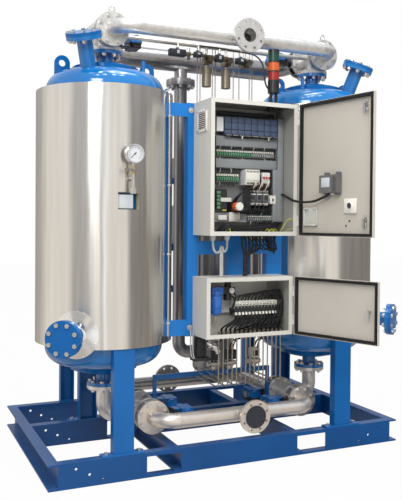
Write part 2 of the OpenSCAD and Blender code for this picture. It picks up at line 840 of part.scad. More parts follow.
// Panel frame: three posts, cross rails and the arms that hold it to the towers
module panel_frame() {
  color(blue) difference() {
    union() {
      for (p = post_x) translate([p[0], post_y[0], post_z[0]])
        cube([p[1], post_y[1] - post_y[0], post_z[1] - post_z[0]]);
      for (z = [1240, 1950]) translate([post_x[0][0], post_y[0], z])
        cube([post_x[2][0] + post_x[2][1] - post_x[0][0], 40, 80]);
      for (z = arm_z, s = [-1, 1]) translate([s < 0 ? -tower_x : 300, arm_y[0], z[0]])
        cube([tower_x - 300 + 1, arm_y[1] - arm_y[0], z[1] - z[0]]);
    }
    for (p = post_x) translate([p[0] + 6, post_y[0] + 6, post_z[0] - 1])
      cube([p[1] - 12, 60, post_z[1] - post_z[0] + 2]);
    both_sides() translate([tower_x, tower_y, 0]) cylinder(r = vessel_r + 0.1, h = 3000);
  }
}

// Cabinets

// Sheet-metal box open at the front, with a folded rim round the opening
module enclosure(z0, h, d) {
  difference() {
    translate([cab_x, cab_back - d, z0]) cube([cab_w, d, h]);
    translate([cab_x + sheet, cab_back - d + sheet, z0 + sheet])
      cube([cab_w - 2 * sheet, d - 2 * sheet, h - 2 * sheet]);
    translate([cab_x + rim, cab_back - d - 1, z0 + rim]) cube([cab_w - 2 * rim, 20, h - 2 * rim]);
  }
}

// Hinge line of a cabinet whose front is at y
module at_hinge(d) {
  translate([cab_x + cab_w + hinge_out, cab_back - d - hinge_y, 0]) children();
}

function hinge_zs(z0, h) = [z0 + 60, z0 + h - 120];

// Fixed halves of the hinges, each with its pin
module hinge_leaves(z0, h, d) {
  for (z = hinge_zs(z0, h)) at_hinge(d) translate([0, 0, z]) {
    cylinder(r = knuckle_r, h = 28);
    cylinder(r = pin_r, h = 60);
    translate([-hinge_out, hinge_y, 0]) cube([hinge_out + 4, 10, 28]);
  }
}

// Door panel in its closed place relative to the hinge line, a folded pan with hinge knuckles
module door_pan(z0, h, latches) {
  x0 = -hinge_out - cab_w;
  y0 = hinge_y - door_gap - door_t;
  difference() {
    union() {
      difference() {
        translate([x0, y0, z0]) cube([cab_w, door_t, h]);
        translate([x0 + 2, y0 + 2, z0 + 2]) cube([cab_w - 4, door_t, h - 4]);
      }
      for (z = hinge_zs(z0, h)) {
        translate([0, 0, z + 30]) cylinder(r = knuckle_r, h = 28);
        translate([-hinge_out - 2, -4, z + 30]) cube([hinge_out + 2, 6, 28]);
      }
    }
    for (z = hinge_zs(z0, h)) {
      translate([0, 0, z + 29]) cylinder(r = pin_r + running, h = 30);
      translate([0, 0, z - 1]) cylinder(r = knuckle_r + 1.5, h = 30);
    }
    for (z = latches) translate([x0 + latch_in, -40, z]) along_y() cylinder(r = latch_r + running, h = 80);
  }
}

// Foam gasket round the inside of the door
module door_gasket(z0, h) {
  x0 = -hinge_out - cab_w;
  y0 = hinge_y - door_gap - door_t + 2;
  difference() {
    translate([x0 + 8, y0, z0 + 8]) cube([cab_w - 16, door_t - 1, h - 16]);
    translate([x0 + 20, y0 - 1, z0 + 20]) cube([cab_w - 40, door_t + 2, h - 40]);
  }
}

// Quarter-turn latch: insert outside, cam inside
module door_latch(z) {
  x0 = -hinge_out - cab_w;
  y0 = hinge_y - door_gap - door_t;
  translate([x0 + latch_in, y0, z]) along_y() {
    translate([0, 0, -4.3]) cylinder(r = 13, h = 4);
    translate([0, 0, -1]) cylinder(r = latch_r, h = 31);
    translate([-8, -2, 26]) cube([16, latch_reach + 2, 4]);
  }
}

module upper_enclosure() {
  color(cabinet_grey) difference() {
    union() {
      enclosure(cab_z, cab_h, cab_d);
      hinge_leaves(cab_z, cab_h, cab_d);
    }
    for (i = [0 : 7], j = [0, 1])
      translate([cab_x - 1, cab_back - 150 + 45 * j, cab_z + cab_h - 170 + 13 * i])
      cube([sheet + 2, 34, 6]);
    for (i = [0 : 4]) translate([-120 + 60 * i, cab_back - 80, cab_z - 1]) cylinder(r = 12, h = sheet + 2);
  }
}

module lower_enclosure() {
  color(cabinet_grey) difference() {
    union() {
      enclosure(low_cab_z, low_cab_h, low_cab_d);
      hinge_leaves(low_cab_z, low_cab_h, low_cab_d);
    }
    for (i = [0 : tube_n - 1]) translate([tube_x + tube_pitch * i, tube_y, low_cab_z - 1])
      cylinder(r = 9.5, h = sheet + 2);
  }
}

module upper_door() {
  color(cabinet_grey) at_hinge(cab_d) rotate(upper_open) door_pan(cab_z, cab_h, upper_latch_z);
}

module upper_gasket() {
  color(dark) at_hinge(cab_d) rotate(upper_open) door_gasket(cab_z, cab_h);
}

module upper_latch_top() {
  color("silver") at_hinge(cab_d) rotate(upper_open) door_latch(upper_latch_z[0]);
}

module upper_latch_low() {
  color("silver") at_hinge(cab_d) rotate(upper_open) door_latch(upper_latch_z[1]);
}

module lower_door() {
  color(cabinet_grey) at_hinge(low_cab_d) rotate(lower_open)
    door_pan(low_cab_z, low_cab_h, [lower_latch_z]);
}

module lower_gasket() {
  color(dark) at_hinge(low_cab_d) rotate(lower_open) door_gasket(low_cab_z, low_cab_h);
}

module lower_latch() {
  color("silver") at_hinge(low_cab_d) rotate(lower_open) door_latch(lower_latch_z);
}

// Operator panel: bezel outside the door, housing inside
module operator_panel() {
  y0 = hinge_y - door_gap - door_t;
  color("gray") at_hinge(cab_d) rotate(upper_open) translate([-268, 0, cab_z + 298]) {
    translate([-90, y0 - 8, -70]) cube([180, 8, 140]);
    translate([-68, y0 + 2, -50]) cube([136, 42, 100]);
  }
}

// Upper cabinet contents

module mounting_plate() {
  color("gainsboro") {
    translate([cab_x + 25, plate_y, cab_z + 30]) cube([cab_w - 50, 3, cab_h - 60]);
    for (x = [cab_x + 50, cab_x + cab_w - 50], z = [cab_z + 60, cab_z + cab_h - 60])
      translate([x, plate_y + 3, z]) along_y() cylinder(r = 7, h = cab_back - sheet - plate_y - 3);
  }
}

// Slotted duct lying along +X
module duct(l, h, d) {
  difference() {
    translate([0, -d, 0]) cube([l, d, h]);
    translate([-1, 2 - d, 2]) cube([l + 2, d - 4, h - 4]);
  }
}

module cable_ducts() {
  color("silver") translate([0, plate_y, 0]) {
    translate([-155, 0, 1888]) duct(411, 56, 60);
    translate([-155, 0, 1760]) duct(411, 50, 60);
    translate([300, 0, 1440]) rotate([0, -90, 0]) duct(630, 38, 60);
  }
}

// Row of devices clipped side by side on a mounting rail
module device_row(x0, z0, n, pitch, h, d) {
  translate([x0, plate_y - 7, z0 + h / 2 - 17]) cube([n * pitch - 1, 7, 34]);
  for (i = [0 : n - 1]) translate([x0 + pitch * i, plate_y - d, z0]) {
    cube([pitch - 1, d - 5, h]);
    translate([3, -6, h * 0.3]) cube([pitch - 7, 6.5, h * 0.4]);
  }
}

module control_modules() {
  color("slategray") {
    device_row(-109, 1952, 8, 45, 108, 70);
    translate([-157, plate_y - 75, 1972]) cube([42, 75, 82]);
  }
}

module terminal_strips() {
  color("darkseagreen") {
    device_row(-150, 1815, 33, 12, 68, 45);
    device_row(-150, 1664, 13, 12, 80, 45);
    device_row(-150, 1436, 33, 12, 54, 45);
  }
}

switch_c = [-21, 1528];

module switchgear() {
  color("gainsboro") difference() {
    union() {
      translate([26, plate_y - 90, 1659]) cube([96, 90, 92]);
      device_row(150, 1672, 3, 18, 66, 65);
      device_row(55, 1535, 3, 44, 98, 80);
      device_row(205, 1548, 2, 22, 52, 60);
      translate([switch_c[0] - 34, plate_y - 70, switch_c[1] - 30]) cube([68, 70, 60]);
      translate([-150, plate_y - 60, 1510]) cube([70, 60, 120]);
    }
    translate([switch_c[0], plate_y - 40, switch_c[1]]) rotate([90, 0, 0])
      cylinder(r = 4 + running, h = 40);
  }
}

// Rotary knob of the main switch
module switch_knob() {
  color("orange") translate([switch_c[0], plate_y - 70.5, switch_c[1]]) rotate([90, 0, 0]) {
    translate([0, 0, -25]) cylinder(r = 4, h = 30);
    cylinder(r = 20, h = 8);
    translate([-5, -19, 6]) cube([10, 38, 14]);
  }
}

// Stack light on a two-leg bracket
module signal_tower() {
  z = cab_z + cab_h;
  color(dark) translate([lamp[0], lamp[1], z]) {
    for (s = [-1, 1]) translate([s * 18 - 4, -12, 0]) cube([8, 24, 92]);
    translate([-30, -20, 0]) cube([60, 40, 4]);
    translate([0, 0, 89]) cylinder(r = lamp_r, h = 76);
    for (i = [0 : 2]) translate([0, 0, 165 + 58 * i]) {
      cylinder(r = lamp_r - 1.5, h = 50);
      translate([0, 0, 50]) cylinder(r = lamp_r, h = 8);
    }
    translate([0, 0, 339]) cylinder(r = lamp_r, h = 12);
  }
}

// Lower cabinet contents

island_x = -35;
island_n = 14;
island_pitch = 23;

// Solenoid valve island on a bar across the back wall
module valve_island() {
  color("whitesmoke") {
    translate([-240, cab_back - sheet - 30, 890]) cube([540, 30, 80]);
    translate([island_x, cab_back - 102.5, 895]) cube([island_pitch * island_n, 71, 25]);
    for (i = [0 : island_n - 1]) translate([island_x + island_pitch * i, cab_back - 102.5, 919]) {
      cube([island_pitch - 2, 70.5, 45]);
      translate([3, -6, 12]) cube([island_pitch - 8, 12, 24]);
    }
  }
}

bowl = [-148, -730];

// Filter bowl and pressure regulator on a bracket
module filter_regulator() {
  color("royalblue") difference() {
    union() {
      translate([bowl[0], bowl[1], 905]) cylinder(r = 34, h = 110);
      translate([bowl[0] - 36, bowl[1] - 30, 1010]) cube([150, 60, 40]);
      translate([bowl[0] - 20, bowl[1] + 29, 1015]) cube([40, cab_back - 30 - sheet - bowl[1] - 29, 30]);
      translate([bowl[0] - 20, cab_back - 33.5, 960]) cube([40, 1, 86]);
      translate([bowl[0] + 78, bowl[1], 970]) cylinder(r = 24, h = 45);
    }
    translate([bowl[0] + 78, bowl[1], 1020]) cylinder(r = 5 + running, h = 40);
  }
}

// Adjusting knob of the pressure regulator
module regulator_knob() {
  color(dark) translate([bowl[0] + 78, bowl[1], 1050.5]) {
    cylinder(r = 20, h = 34);
    translate([0, 0, -25]) cylinder(r = 5, h = 26);
  }
}

// Tubes

// Tube from a bulkhead fitting down, back and into the tube rack
module control_tube(x, drop) {
  z = tube_z + drop;
  translate([x, tube_y, 0]) {
    translate([0, 0, z + tube_bend]) cylinder(r = tube_r, h = low_cab_z - z - tube_bend + 20);
    translate([0, tube_bend, z + tube_bend]) rotate([0, 90, 0]) rotate(-90) bend(tube_bend, tube_r);
    translate([0, tube_bend, z]) along_y() cylinder(r = tube_r, h = rail_front - tube_y - tube_bend);
    translate([0, 0, low_cab_z - 12]) cylinder(r = 13, h = 12, $fn = 6);
    translate([0, 0, low_cab_z - 24]) cylinder(r = 9, h = 50);
    translate([0, 0, low_cab_z + sheet]) cylinder(r = 13, h = 8, $fn = 6);
  }
}

impulse_x = [-128, -108, -22, -2, 128, 170, 246, 266];

module instrument_tubes() {
  color(zinc) {
    for (i = [0 : tube_n - 1]) control_tube(tube_x + tube_pitch * i, i % 2 == 0 ? -12 : 2);
    for (x = impulse_x) translate([x, tower_y, 480]) cylinder(r = 3, h = top_z - 13 - 480);
  }
}

pilot_x = [-64, 74, 210];
pilot_pipe_r = 13;

// Manifold between the tower tops with pilot valves and two silencers
module pilot_manifold() {
  color("tan") difference() {
    union() {
      translate([-tower_x, tower_y, top_z]) along_x() cylinder(r = pilot_pipe_r, h = 2 * tower_x);
      for (x = pilot_x) translate([x, tower_y, 0]) {
        translate([0, 0, 2480]) cylinder(r = 8, h = 65);
        translate([-22, -35, 2438]) cube([44, 60, 50]);
        translate([0, -34, 2463]) rotate([90, 0, 0]) cylinder(r = 20, h = 40);
      }
      for (i = [0, 1]) translate([pilot_x[i], tower_y, 2298]) {
        cylinder(r = 30, h = 120);
        cylinder(r = 12, h = 145);
      }
    }
    both_sides() translate([tower_x, tower_y - 60, top_z]) {
      along_y() cylinder(r = pipe_r, h = 120);
      translate([0, 60, -60]) cylinder(r = pipe_r, h = 60);
    }
  }
}

skid_long_beams();
skid_cross_members();
left_vessel();
right_vessel();
claddings();
tower_legs();
insulation_jackets();
desiccant_beds();
blind_flanges();
lifting_lugs();
bolts();
gauge_stacks();
left_gauge_needle();
right_gauge_needle();
left_cock_lever();
right_cock_lever();
top_tees();
outlet_header();
regen_header();
check_valve_bodies();
left_check_flap();
right_check_flap();
valve_bodies();
valve_actuators();
left_inlet_disc();
right_inlet_disc();
left_exhaust_disc();
right_exhaust_disc();
left_regen_disc();
right_regen_disc();
bottom_spools();
inlet_header();
inlet_cover();
exhaust_manifold();
heater_vessel();
regeneration_blower();
pipe_supports();
panel_frame();
upper_enclosure();
mounting_plate();
cable_ducts();
control_modules();
terminal_strips();
switchgear();
switch_knob();
upper_door();
upper_gasket();
upper_latch_top();
upper_latch_low();
operator_panel();
signal_tower();
lower_enclosure();
valve_island();
filter_regulator();
regulator_knob();
lower_door();
lower_gasket();
lower_latch();
instrument_tubes();
pilot_manifold();
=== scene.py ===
import math

import bmesh
import bpy
from mathutils import Matrix, Vector


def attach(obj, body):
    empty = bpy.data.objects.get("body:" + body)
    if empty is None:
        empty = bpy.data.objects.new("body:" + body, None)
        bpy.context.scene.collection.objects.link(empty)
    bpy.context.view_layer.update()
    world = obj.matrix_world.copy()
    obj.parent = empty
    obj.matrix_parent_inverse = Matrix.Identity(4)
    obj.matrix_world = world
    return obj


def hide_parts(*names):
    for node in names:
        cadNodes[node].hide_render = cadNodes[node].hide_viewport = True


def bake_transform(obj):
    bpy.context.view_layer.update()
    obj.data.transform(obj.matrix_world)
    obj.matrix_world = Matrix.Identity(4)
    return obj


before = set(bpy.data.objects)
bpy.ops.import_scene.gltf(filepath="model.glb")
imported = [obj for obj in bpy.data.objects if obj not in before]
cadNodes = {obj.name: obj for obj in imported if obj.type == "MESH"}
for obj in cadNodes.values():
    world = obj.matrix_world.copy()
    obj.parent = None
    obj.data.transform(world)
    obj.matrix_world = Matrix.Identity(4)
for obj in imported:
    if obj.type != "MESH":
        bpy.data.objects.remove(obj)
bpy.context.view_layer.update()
scene = bpy.context.scene
scene.view_settings.view_transform = "Standard"
print("frame loaded,", len(cadNodes), "nodes")


# small helpers, lengths in millimetres

def mm(x, y, z):
    return Vector((x, y, z)) / 1000


def ink(r, g, b):  # picked 0-255 colour to the shader's linear colour
    parts = [c / 255 for c in (r, g, b)]
    return tuple(c / 12.92 if c <= 0.04045 else ((c + 0.055) / 1.055) ** 2.4 for c in parts) + (1.0,)


def addNode(tree, kind, x, y, **values):
    node = tree.nodes.new(kind)
    node.location = (x, y)
    for key, value in values.items():
        setattr(node, key, value)
    return node


def addSpan(tree, x, y, span, **values):  # takes the given span of values to 0..1
    node = addNode(tree, "ShaderNodeMapRange", x, y, **values)
    node.inputs["From Min"].default_value, node.inputs["From Max"].default_value = span
    return node


def addNoise(tree, x, y, where, scale, detail):
    node = addNode(tree, "ShaderNodeTexNoise", x, y)
    node.inputs["Scale"].default_value = scale
    node.inputs["Detail"].default_value = detail
    tree.links.new(where, node.inputs["Vector"])
    return node


# camera, at the photograph's viewing angle

cameraSet = {"spot": (-1949.2, -4486.3, 1429.2), "yaw": -0.4251, "pitch": -0.0159, "roll": 0.0081,
             "lens": 50.70, "shift": (0.0006, -0.0318)}


def placeCamera(look):
    data = bpy.data.cameras.new("camera")
    camera = bpy.data.objects.new("camera", data)
    scene.collection.objects.link(camera)
    yaw, pitch, roll = look["yaw"], look["pitch"], look["roll"]
    right = Vector((math.cos(yaw), math.sin(yaw), 0))
    ahead = Vector((-math.sin(yaw) * math.cos(pitch), math.cos(yaw) * math.cos(pitch), math.sin(pitch)))
    up = right.cross(ahead)
    side = right * math.cos(roll) + up * math.sin(roll)
    top = up * math.cos(roll) - right * math.sin(roll)
    turn = Matrix((side, top, -ahead)).transposed().to_4x4()
    camera.matrix_world = Matrix.Translation(mm(*look["spot"])) @ turn
    data.lens = look["lens"]
    data.sensor_width = 36
    data.shift_x, data.shift_y = look["shift"]
    data.clip_end = 100
    scene.camera = camera


placeCamera(cameraSet)


# cords first: the cable to the door panel and the one to the signal tower

doorCable = {"d": 14, "points": [
    (292, -738, 1606), (288, -770, 1602), (284, -830, 1585), (283, -895, 1566), (299, -960, 1556),
    (324, -1040, 1559), (344, -1105, 1578), (353, -1146, 1594), (355, -1159, 1610)]}
lampCable = {"d": 10, "points": [
    (-122, -412, 2547), (-25, -446, 2539), (71, -470, 2527), (141, -495, 2516), (188, -555, 2492),
    (198, -620, 2448), (186, -680, 2396), (176, -712, 2340), (180, -724, 2280), (200, -728, 2246),
    (216, -729, 2236)]}


def smoothPath(points, steps=6):  # a curve through every point
    points = [mm(*spot) for spot in points]
    ends = [2 * points[0] - points[1]] + points + [2 * points[-1] - points[-2]]
    path = []
    for a, b, c, d in zip(ends, ends[1:], ends[2:], ends[3:]):
        for step in range(steps):
            t = step / steps
            path.append(0.5 * (2 * b + (c - a) * t + (2 * a - 5 * b + 4 * c - d) * t * t
                               + (3 * b - a - 3 * c + d) * t ** 3))
    return path + [points[-1]]


def sweepTube(bm, path, radius, sides=12):
    rings, side = [], None
    for here, spot in enumerate(path):
        along = (path[min(here + 1, len(path) - 1)] - path[max(here - 1, 0)]).normalized()
        square = along.orthogonal() if side is None else side - along * side.dot(along)
        side = square.normalized()
        other = along.cross(side)
        rings.append([bm.verts.new(spot + radius * (math.cos(2 * math.pi * k / sides) * side
                                                     + math.sin(2 * math.pi * k / sides) * other))
                      for k in range(sides)])
    for one, two in zip(rings, rings[1:]):
        for k in range(sides):
            bm.faces.new((one[k], one[(k + 1) % sides], two[(k + 1) % sides], two[k]))
    bm.faces.new(list(reversed(rings[0])))
    bm.faces.new(rings[-1])


def makeCord(name, look):
    path = smoothPath(look["points"])
    bm = bmesh.new()
    sweepTube(bm, path, look["d"] / 2000)
    mesh = bpy.data.meshes.new(name)
    bm.to_mesh(mesh)
    bm.free()
    for face in mesh.polygons:
        face.use_smooth = True
    cord = bpy.data.objects.new(name, mesh)
    scene.collection.objects.link(cord)
    return cord


panelCord = makeCord("panelCable", doorCable)
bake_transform(panelCord)
signalCord = makeCord("signalCable", lampCable)
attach(signalCord, "frame")


# floor, world and lamps

stageSet = {"floorSize": 40, "floorPaint": ink(188, 188, 188), "floorWhite": 0.97,
            "skyLow": (0.40, 0.40, 0.40, 1.0), "skyHigh": (1.1, 1.11, 1.13, 1.0), "skySpan": (-0.1, 0.8)}
# what polished metal sees: a plain room by bearing in degrees, its ceiling and ground by the height of view
hallSet = {"strength": 1.3, "ceiling": (0.56, 0.59, 0.64, 1.0), "ceilingSpan": (0.16, 0.45),
           "ground": ink(178, 172, 166), "groundSpan": (-0.22, -0.6),
           "tones": {"pale": ink(220, 214, 206), "wall": ink(165, 161, 157), "strip": ink(255, 255, 255),
                     "dusk": ink(120, 115, 110)},
           "bands": [(-180, "pale"), (-170, "pale"), (-160, "wall"), (-130, "wall"), (-120, "pale"),
                     (-110, "wall"), (-105, "strip"), (-100, "pale"), (-70, "pale"), (-60, "dusk"),
                     (60, "dusk"), (120, "wall"), (150, "pale")]}


def makeFloor(look):
    bm = bmesh.new()
    bmesh.ops.create_grid(bm, x_segments=2, y_segments=2, size=look["floorSize"] / 2)
    bmesh.ops.translate(bm, verts=bm.verts, vec=mm(0, 0, -0.5))
    mesh = bpy.data.meshes.new("studioFloor")
    bm.to_mesh(mesh)
    bm.free()
    floor = bpy.data.objects.new("studioFloor", mesh)
    scene.collection.objects.link(floor)
    mat = bpy.data.materials.new("studioFloor")
    mat.use_nodes = True
    tree = mat.node_tree
    tree.nodes.clear()
    out = addNode(tree, "ShaderNodeOutputMaterial", 600, 0)
    mix = addNode(tree, "ShaderNodeMixShader", 400, 0)
    paint = addNode(tree, "ShaderNodeBsdfDiffuse", 100, -100)
    white = addNode(tree, "ShaderNodeEmission", 100, -250)
    path = addNode(tree, "ShaderNodeLightPath", -200, 100)
    share = addNode(tree, "ShaderNodeMath", 100, 100, operation="MULTIPLY")
    clear = addNode(tree, "ShaderNodeBsdfTransparent", 400, -250)
    toMirror = addNode(tree, "ShaderNodeMixShader", 550, 100)
    paint.inputs["Color"].default_value = look["floorPaint"]
    share.inputs[1].default_value = look["floorWhite"]
    tree.links.new(path.outputs["Is Camera Ray"], share.inputs[0])
    tree.links.new(share.outputs[0], mix.inputs[0])
    tree.links.new(paint.outputs[0], mix.inputs[1])
    tree.links.new(white.outputs[0], mix.inputs[2])
    tree.links.new(path.outputs["Is Glossy Ray"], toMirror.inputs[0])
    tree.links.new(mix.outputs[0], toMirror.inputs[1])
    tree.links.new(clear.outputs[0], toMirror.inputs[2])
    tree.links.new(toMirror.outputs[0], out.inputs[0])
    mesh.materials.append(mat)


def makeHall(look, hall):
    world = bpy.data.worlds.new("hall")
    scene.world = world
    world.use_nodes = True
    tree = world.node_tree
    tree.nodes.clear()
    out = addNode(tree, "ShaderNodeOutputWorld", 900, 0)
    toCamera = addNode(tree, "ShaderNodeMixShader", 700, 0)
    toMirror = addNode(tree, "ShaderNodeMixShader", 500, -100)
    plain = addNode(tree, "ShaderNodeBackground", 250, -250)
    seen = addNode(tree, "ShaderNodeBackground", 250, -100)
    white = addNode(tree, "ShaderNodeBackground", 500, -300)
    path = addNode(tree, "ShaderNodeLightPath", 0, 400)
    either = addNode(tree, "ShaderNodeMath", 250, 300, operation="MAXIMUM")
    coords = addNode(tree, "ShaderNodeTexCoord", -900, 0)
    split = addNode(tree, "ShaderNodeSeparateXYZ", -700, 0)
    bearing = addNode(tree, "ShaderNodeMath", -500, 100, operation="ARCTAN2")
    spread = addSpan(tree, -300, 100, (-math.pi, math.pi))
    ramp = addNode(tree, "ShaderNodeValToRGB", -100, 100)
    lift = addSpan(tree, -300, -200, hall["ceilingSpan"], interpolation_type="SMOOTHSTEP")
    ceiling = addNode(tree, "ShaderNodeMix", 100, -50, data_type="RGBA")
    sink = addSpan(tree, -300, 350, hall["groundSpan"], interpolation_type="SMOOTHSTEP")
    ground = addNode(tree, "ShaderNodeMix", 150, 150, data_type="RGBA")
    rise = addSpan(tree, -300, -450, look["skySpan"], interpolation_type="SMOOTHSTEP")
    sky = addNode(tree, "ShaderNodeMix", 0, -350, data_type="RGBA")
    sky.inputs[6].default_value = look["skyLow"]
    sky.inputs[7].default_value = look["skyHigh"]
    white.inputs["Color"].default_value = (1, 1, 1, 1)
    seen.inputs["Strength"].default_value = hall["strength"]
    ground.inputs[7].default_value = hall["ground"]
    ceiling.inputs[7].default_value = hall["ceiling"]
    stops = [((degrees + 180) / 360, hall["tones"][tone]) for degrees, tone in hall["bands"]]
    while len(ramp.color_ramp.elements) < len(stops):
        ramp.color_ramp.elements.new(0.5)
    for element, (place, colour) in zip(ramp.color_ramp.elements, stops):
        element.position = place
        element.color = colour
    link = tree.links.new
    link(coords.outputs["Generated"], split.inputs[0])
    link(split.outputs["Y"], bearing.inputs[0])
    link(split.outputs["X"], bearing.inputs[1])
    link(bearing.outputs[0], spread.inputs["Value"])
    link(spread.outputs["Result"], ramp.inputs[0])
    link(split.outputs["Z"], lift.inputs["Value"])
    link(lift.outputs["Result"], ceiling.inputs[0])
    link(ramp.outputs["Color"], ceiling.inputs[6])
    link(split.outputs["Z"], sink.inputs["Value"])
    link(sink.outputs["Result"], ground.inputs[0])
    link(ceiling.outputs[2], ground.inputs[6])
    link(ground.outputs[2], seen.inputs["Color"])
    link(split.outputs["Z"], rise.inputs["Value"])
    link(rise.outputs["Result"], sky.inputs[0])
    link(sky.outputs[2], plain.inputs["Color"])
    link(path.outputs["Is Glossy Ray"], either.inputs[0])
    link(path.outputs["Is Transmission Ray"], either.inputs[1])
    link(either.outputs[0], toMirror.inputs[0])
    link(plain.outputs[0], toMirror.inputs[1])
    link(seen.outputs[0], toMirror.inputs[2])
    link(path.outputs["Is Camera Ray"], toCamera.inputs[0])
    link(toMirror.outputs[0], toCamera.inputs[1])
    link(white.outputs[0], toCamera.inputs[2])
    link(toCamera.outputs[0], out.inputs[0])


ceilingLampSpots = [(-2300 + 900 * column, -2600 + 1300 * row) for row in range(2) for column in range(4)]
lampSet = [
    {"name": "keySoftbox", "spot": (-3200, -4300, 4200), "aim": (0, -400, 1300), "size": (1.6, 1.2),
     "watts": 84},
    {"name": "fillSoftbox", "spot": (3400, -4200, 3000), "aim": (100, -500, 1300), "size": (1.6, 1.6),
     "watts": 45, "mirrored": False},
    {"name": "frontSoftbox", "spot": (-600, -4700, 4600), "aim": (0, -600, 1900), "size": (2.4, 1.6),
     "watts": 78, "mirrored": False},
    {"name": "topSoftbox", "spot": (300, -900, 5400), "aim": (0, -400, 2000), "size": (2.2, 1.4),
     "watts": 45},
] + [{"name": "hallLamp.%d" % n, "spot": (x, y, 5600), "aim": (x, y, 0), "size": (0.35, 0.35), "watts": 9}
     for n, (x, y) in enumerate(ceilingLampSpots)]


def placeLamp(look):
    data = bpy.data.lights.new(look["name"], "AREA")
    data.shape = "RECTANGLE"
    data.size, data.size_y = look["size"]
    data.energy = look["watts"]
    lamp = bpy.data.objects.new(look["name"], data)
    scene.collection.objects.link(lamp)
    lamp.location = mm(*look["spot"])
    lamp.visible_glossy = look.get("mirrored", True)
    lamp.rotation_euler = (mm(*look["aim"]) - mm(*look["spot"])).to_track_quat("-Z", "Y").to_euler()


makeFloor(stageSet)
makeHall(stageSet, hallSet)
for lamp in lampSet:
    placeLamp(lamp)
print("camera, floor and lamps placed")


# shared shader groups

def startGroup(name, inputs, outputs):
    group = bpy.data.node_groups.new(name, "ShaderNodeTree")
    for label, kind, default in inputs:
        socket = group.interface.new_socket(label, in_out="INPUT", socket_type=kind)
        socket.default_value = default
    for label, kind in outputs:
        group.interface.new_socket(label, in_out="OUTPUT", socket_type=kind)
    return group, addNode(group, "NodeGroupInput", -1100, 0), addNode(group, "NodeGroupOutput", 900, 0)


colourIn = ("Colour", "NodeSocketColor", (0.5, 0.5, 0.5, 1))
filmOut = [("Colour", "NodeSocketColor"), ("Roughness", "NodeSocketFloat"), ("Height", "NodeSocketFloat")]


def swingTone(group, given, noise, amount):  # the given colour made lighter and darker by a noise
    shift = addSpan(group, -550, -450, (0.3, 0.7))
    swing = addNode(group, "ShaderNodeMath", -300, -450, operation="MULTIPLY_ADD")
    grey = addNode(group, "ShaderNodeCombineColor", -100, -450)
    tone = addNode(group, "ShaderNodeMix", 100, 100, data_type="RGBA", blend_type="MULTIPLY")
    shift.inputs["To Min"].default_value = -1
    swing.inputs[2].default_value = 1
    tone.inputs[0].default_value = 1
    link = group.links.new
    link(noise.outputs["Fac"], shift.inputs["Value"])
    link(shift.outputs["Result"], swing.inputs[0])
    link(given.outputs[amount], swing.inputs[1])
    for label in ("Red", "Green", "Blue"):
        link(swing.outputs[0], grey.inputs[label])
    link(given.outputs["Colour"], tone.inputs[6])
    link(grey.outputs[0], tone.inputs[7])
    return tone.outputs[2]


def endFilm(group, given, out, colour, dulling, gain, height):  # dulling times gain is added to the shine
    rough = addNode(group, "ShaderNodeMath", 600, -200, operation="MULTIPLY_ADD")
    rough.inputs[1].default_value = gain
    link = group.links.new
    link(dulling, rough.inputs[0])
    link(given.outputs["Shine"], rough.inputs[2])
    link(colour, out.inputs["Colour"])
    link(rough.outputs[0], out.inputs["Roughness"])
    link(height, out.inputs["Height"])
    return group


paintSet = {"driftScale": 2.6, "dust": ink(196, 196, 192), "dustFacing": (0.55, 1), "dulling": 0.45}


def makePaintFilm(look):  # sprayed coat: orange peel, slow tone drift, dust on what faces up
    group, given, out = startGroup("paintFilm", [
        colourIn, ("Peel Scale", "NodeSocketFloat", 160.0), ("Tone", "NodeSocketFloat", 0.1),
        ("Dust", "NodeSocketFloat", 0.12), ("Shine", "NodeSocketFloat", 0.25)], filmOut)
    coords = addNode(group, "ShaderNodeTexCoord", -1100, -300)
    peel = addNoise(group, -800, -300, coords.outputs["Object"], 1, 2)
    drift = addNoise(group, -800, -550, coords.outputs["Object"], look["driftScale"], 5)
    facing = addNode(group, "ShaderNodeNewGeometry", -1100, -800)
    split = addNode(group, "ShaderNodeSeparateXYZ", -900, -800)
    upward = addSpan(group, -700, -800, look["dustFacing"])
    settled = addNode(group, "ShaderNodeMath", -450, -700, operation="MULTIPLY")
    dusty = addNode(group, "ShaderNodeMath", -250, -700, operation="MULTIPLY")
    dust = addNode(group, "ShaderNodeMix", 300, 100, data_type="RGBA")
    dust.inputs[7].default_value = look["dust"]
    link = group.links.new
    link(given.outputs["Peel Scale"], peel.inputs["Scale"])
    link(facing.outputs["Normal"], split.inputs[0])
    link(split.outputs["Z"], upward.inputs["Value"])
    link(upward.outputs["Result"], settled.inputs[0])
    link(drift.outputs["Fac"], settled.inputs[1])
    link(settled.outputs[0], dusty.inputs[0])
    link(given.outputs["Dust"], dusty.inputs[1])
    link(dusty.outputs[0], dust.inputs[0])
    link(swingTone(group, given, drift, "Tone"), dust.inputs[6])
    return endFilm(group, given, out, dust.outputs[2], dusty.outputs[0], look["dulling"], peel.outputs["Fac"])


rolledSet = {"cloudScale": 1.7, "dulling": 0.09}


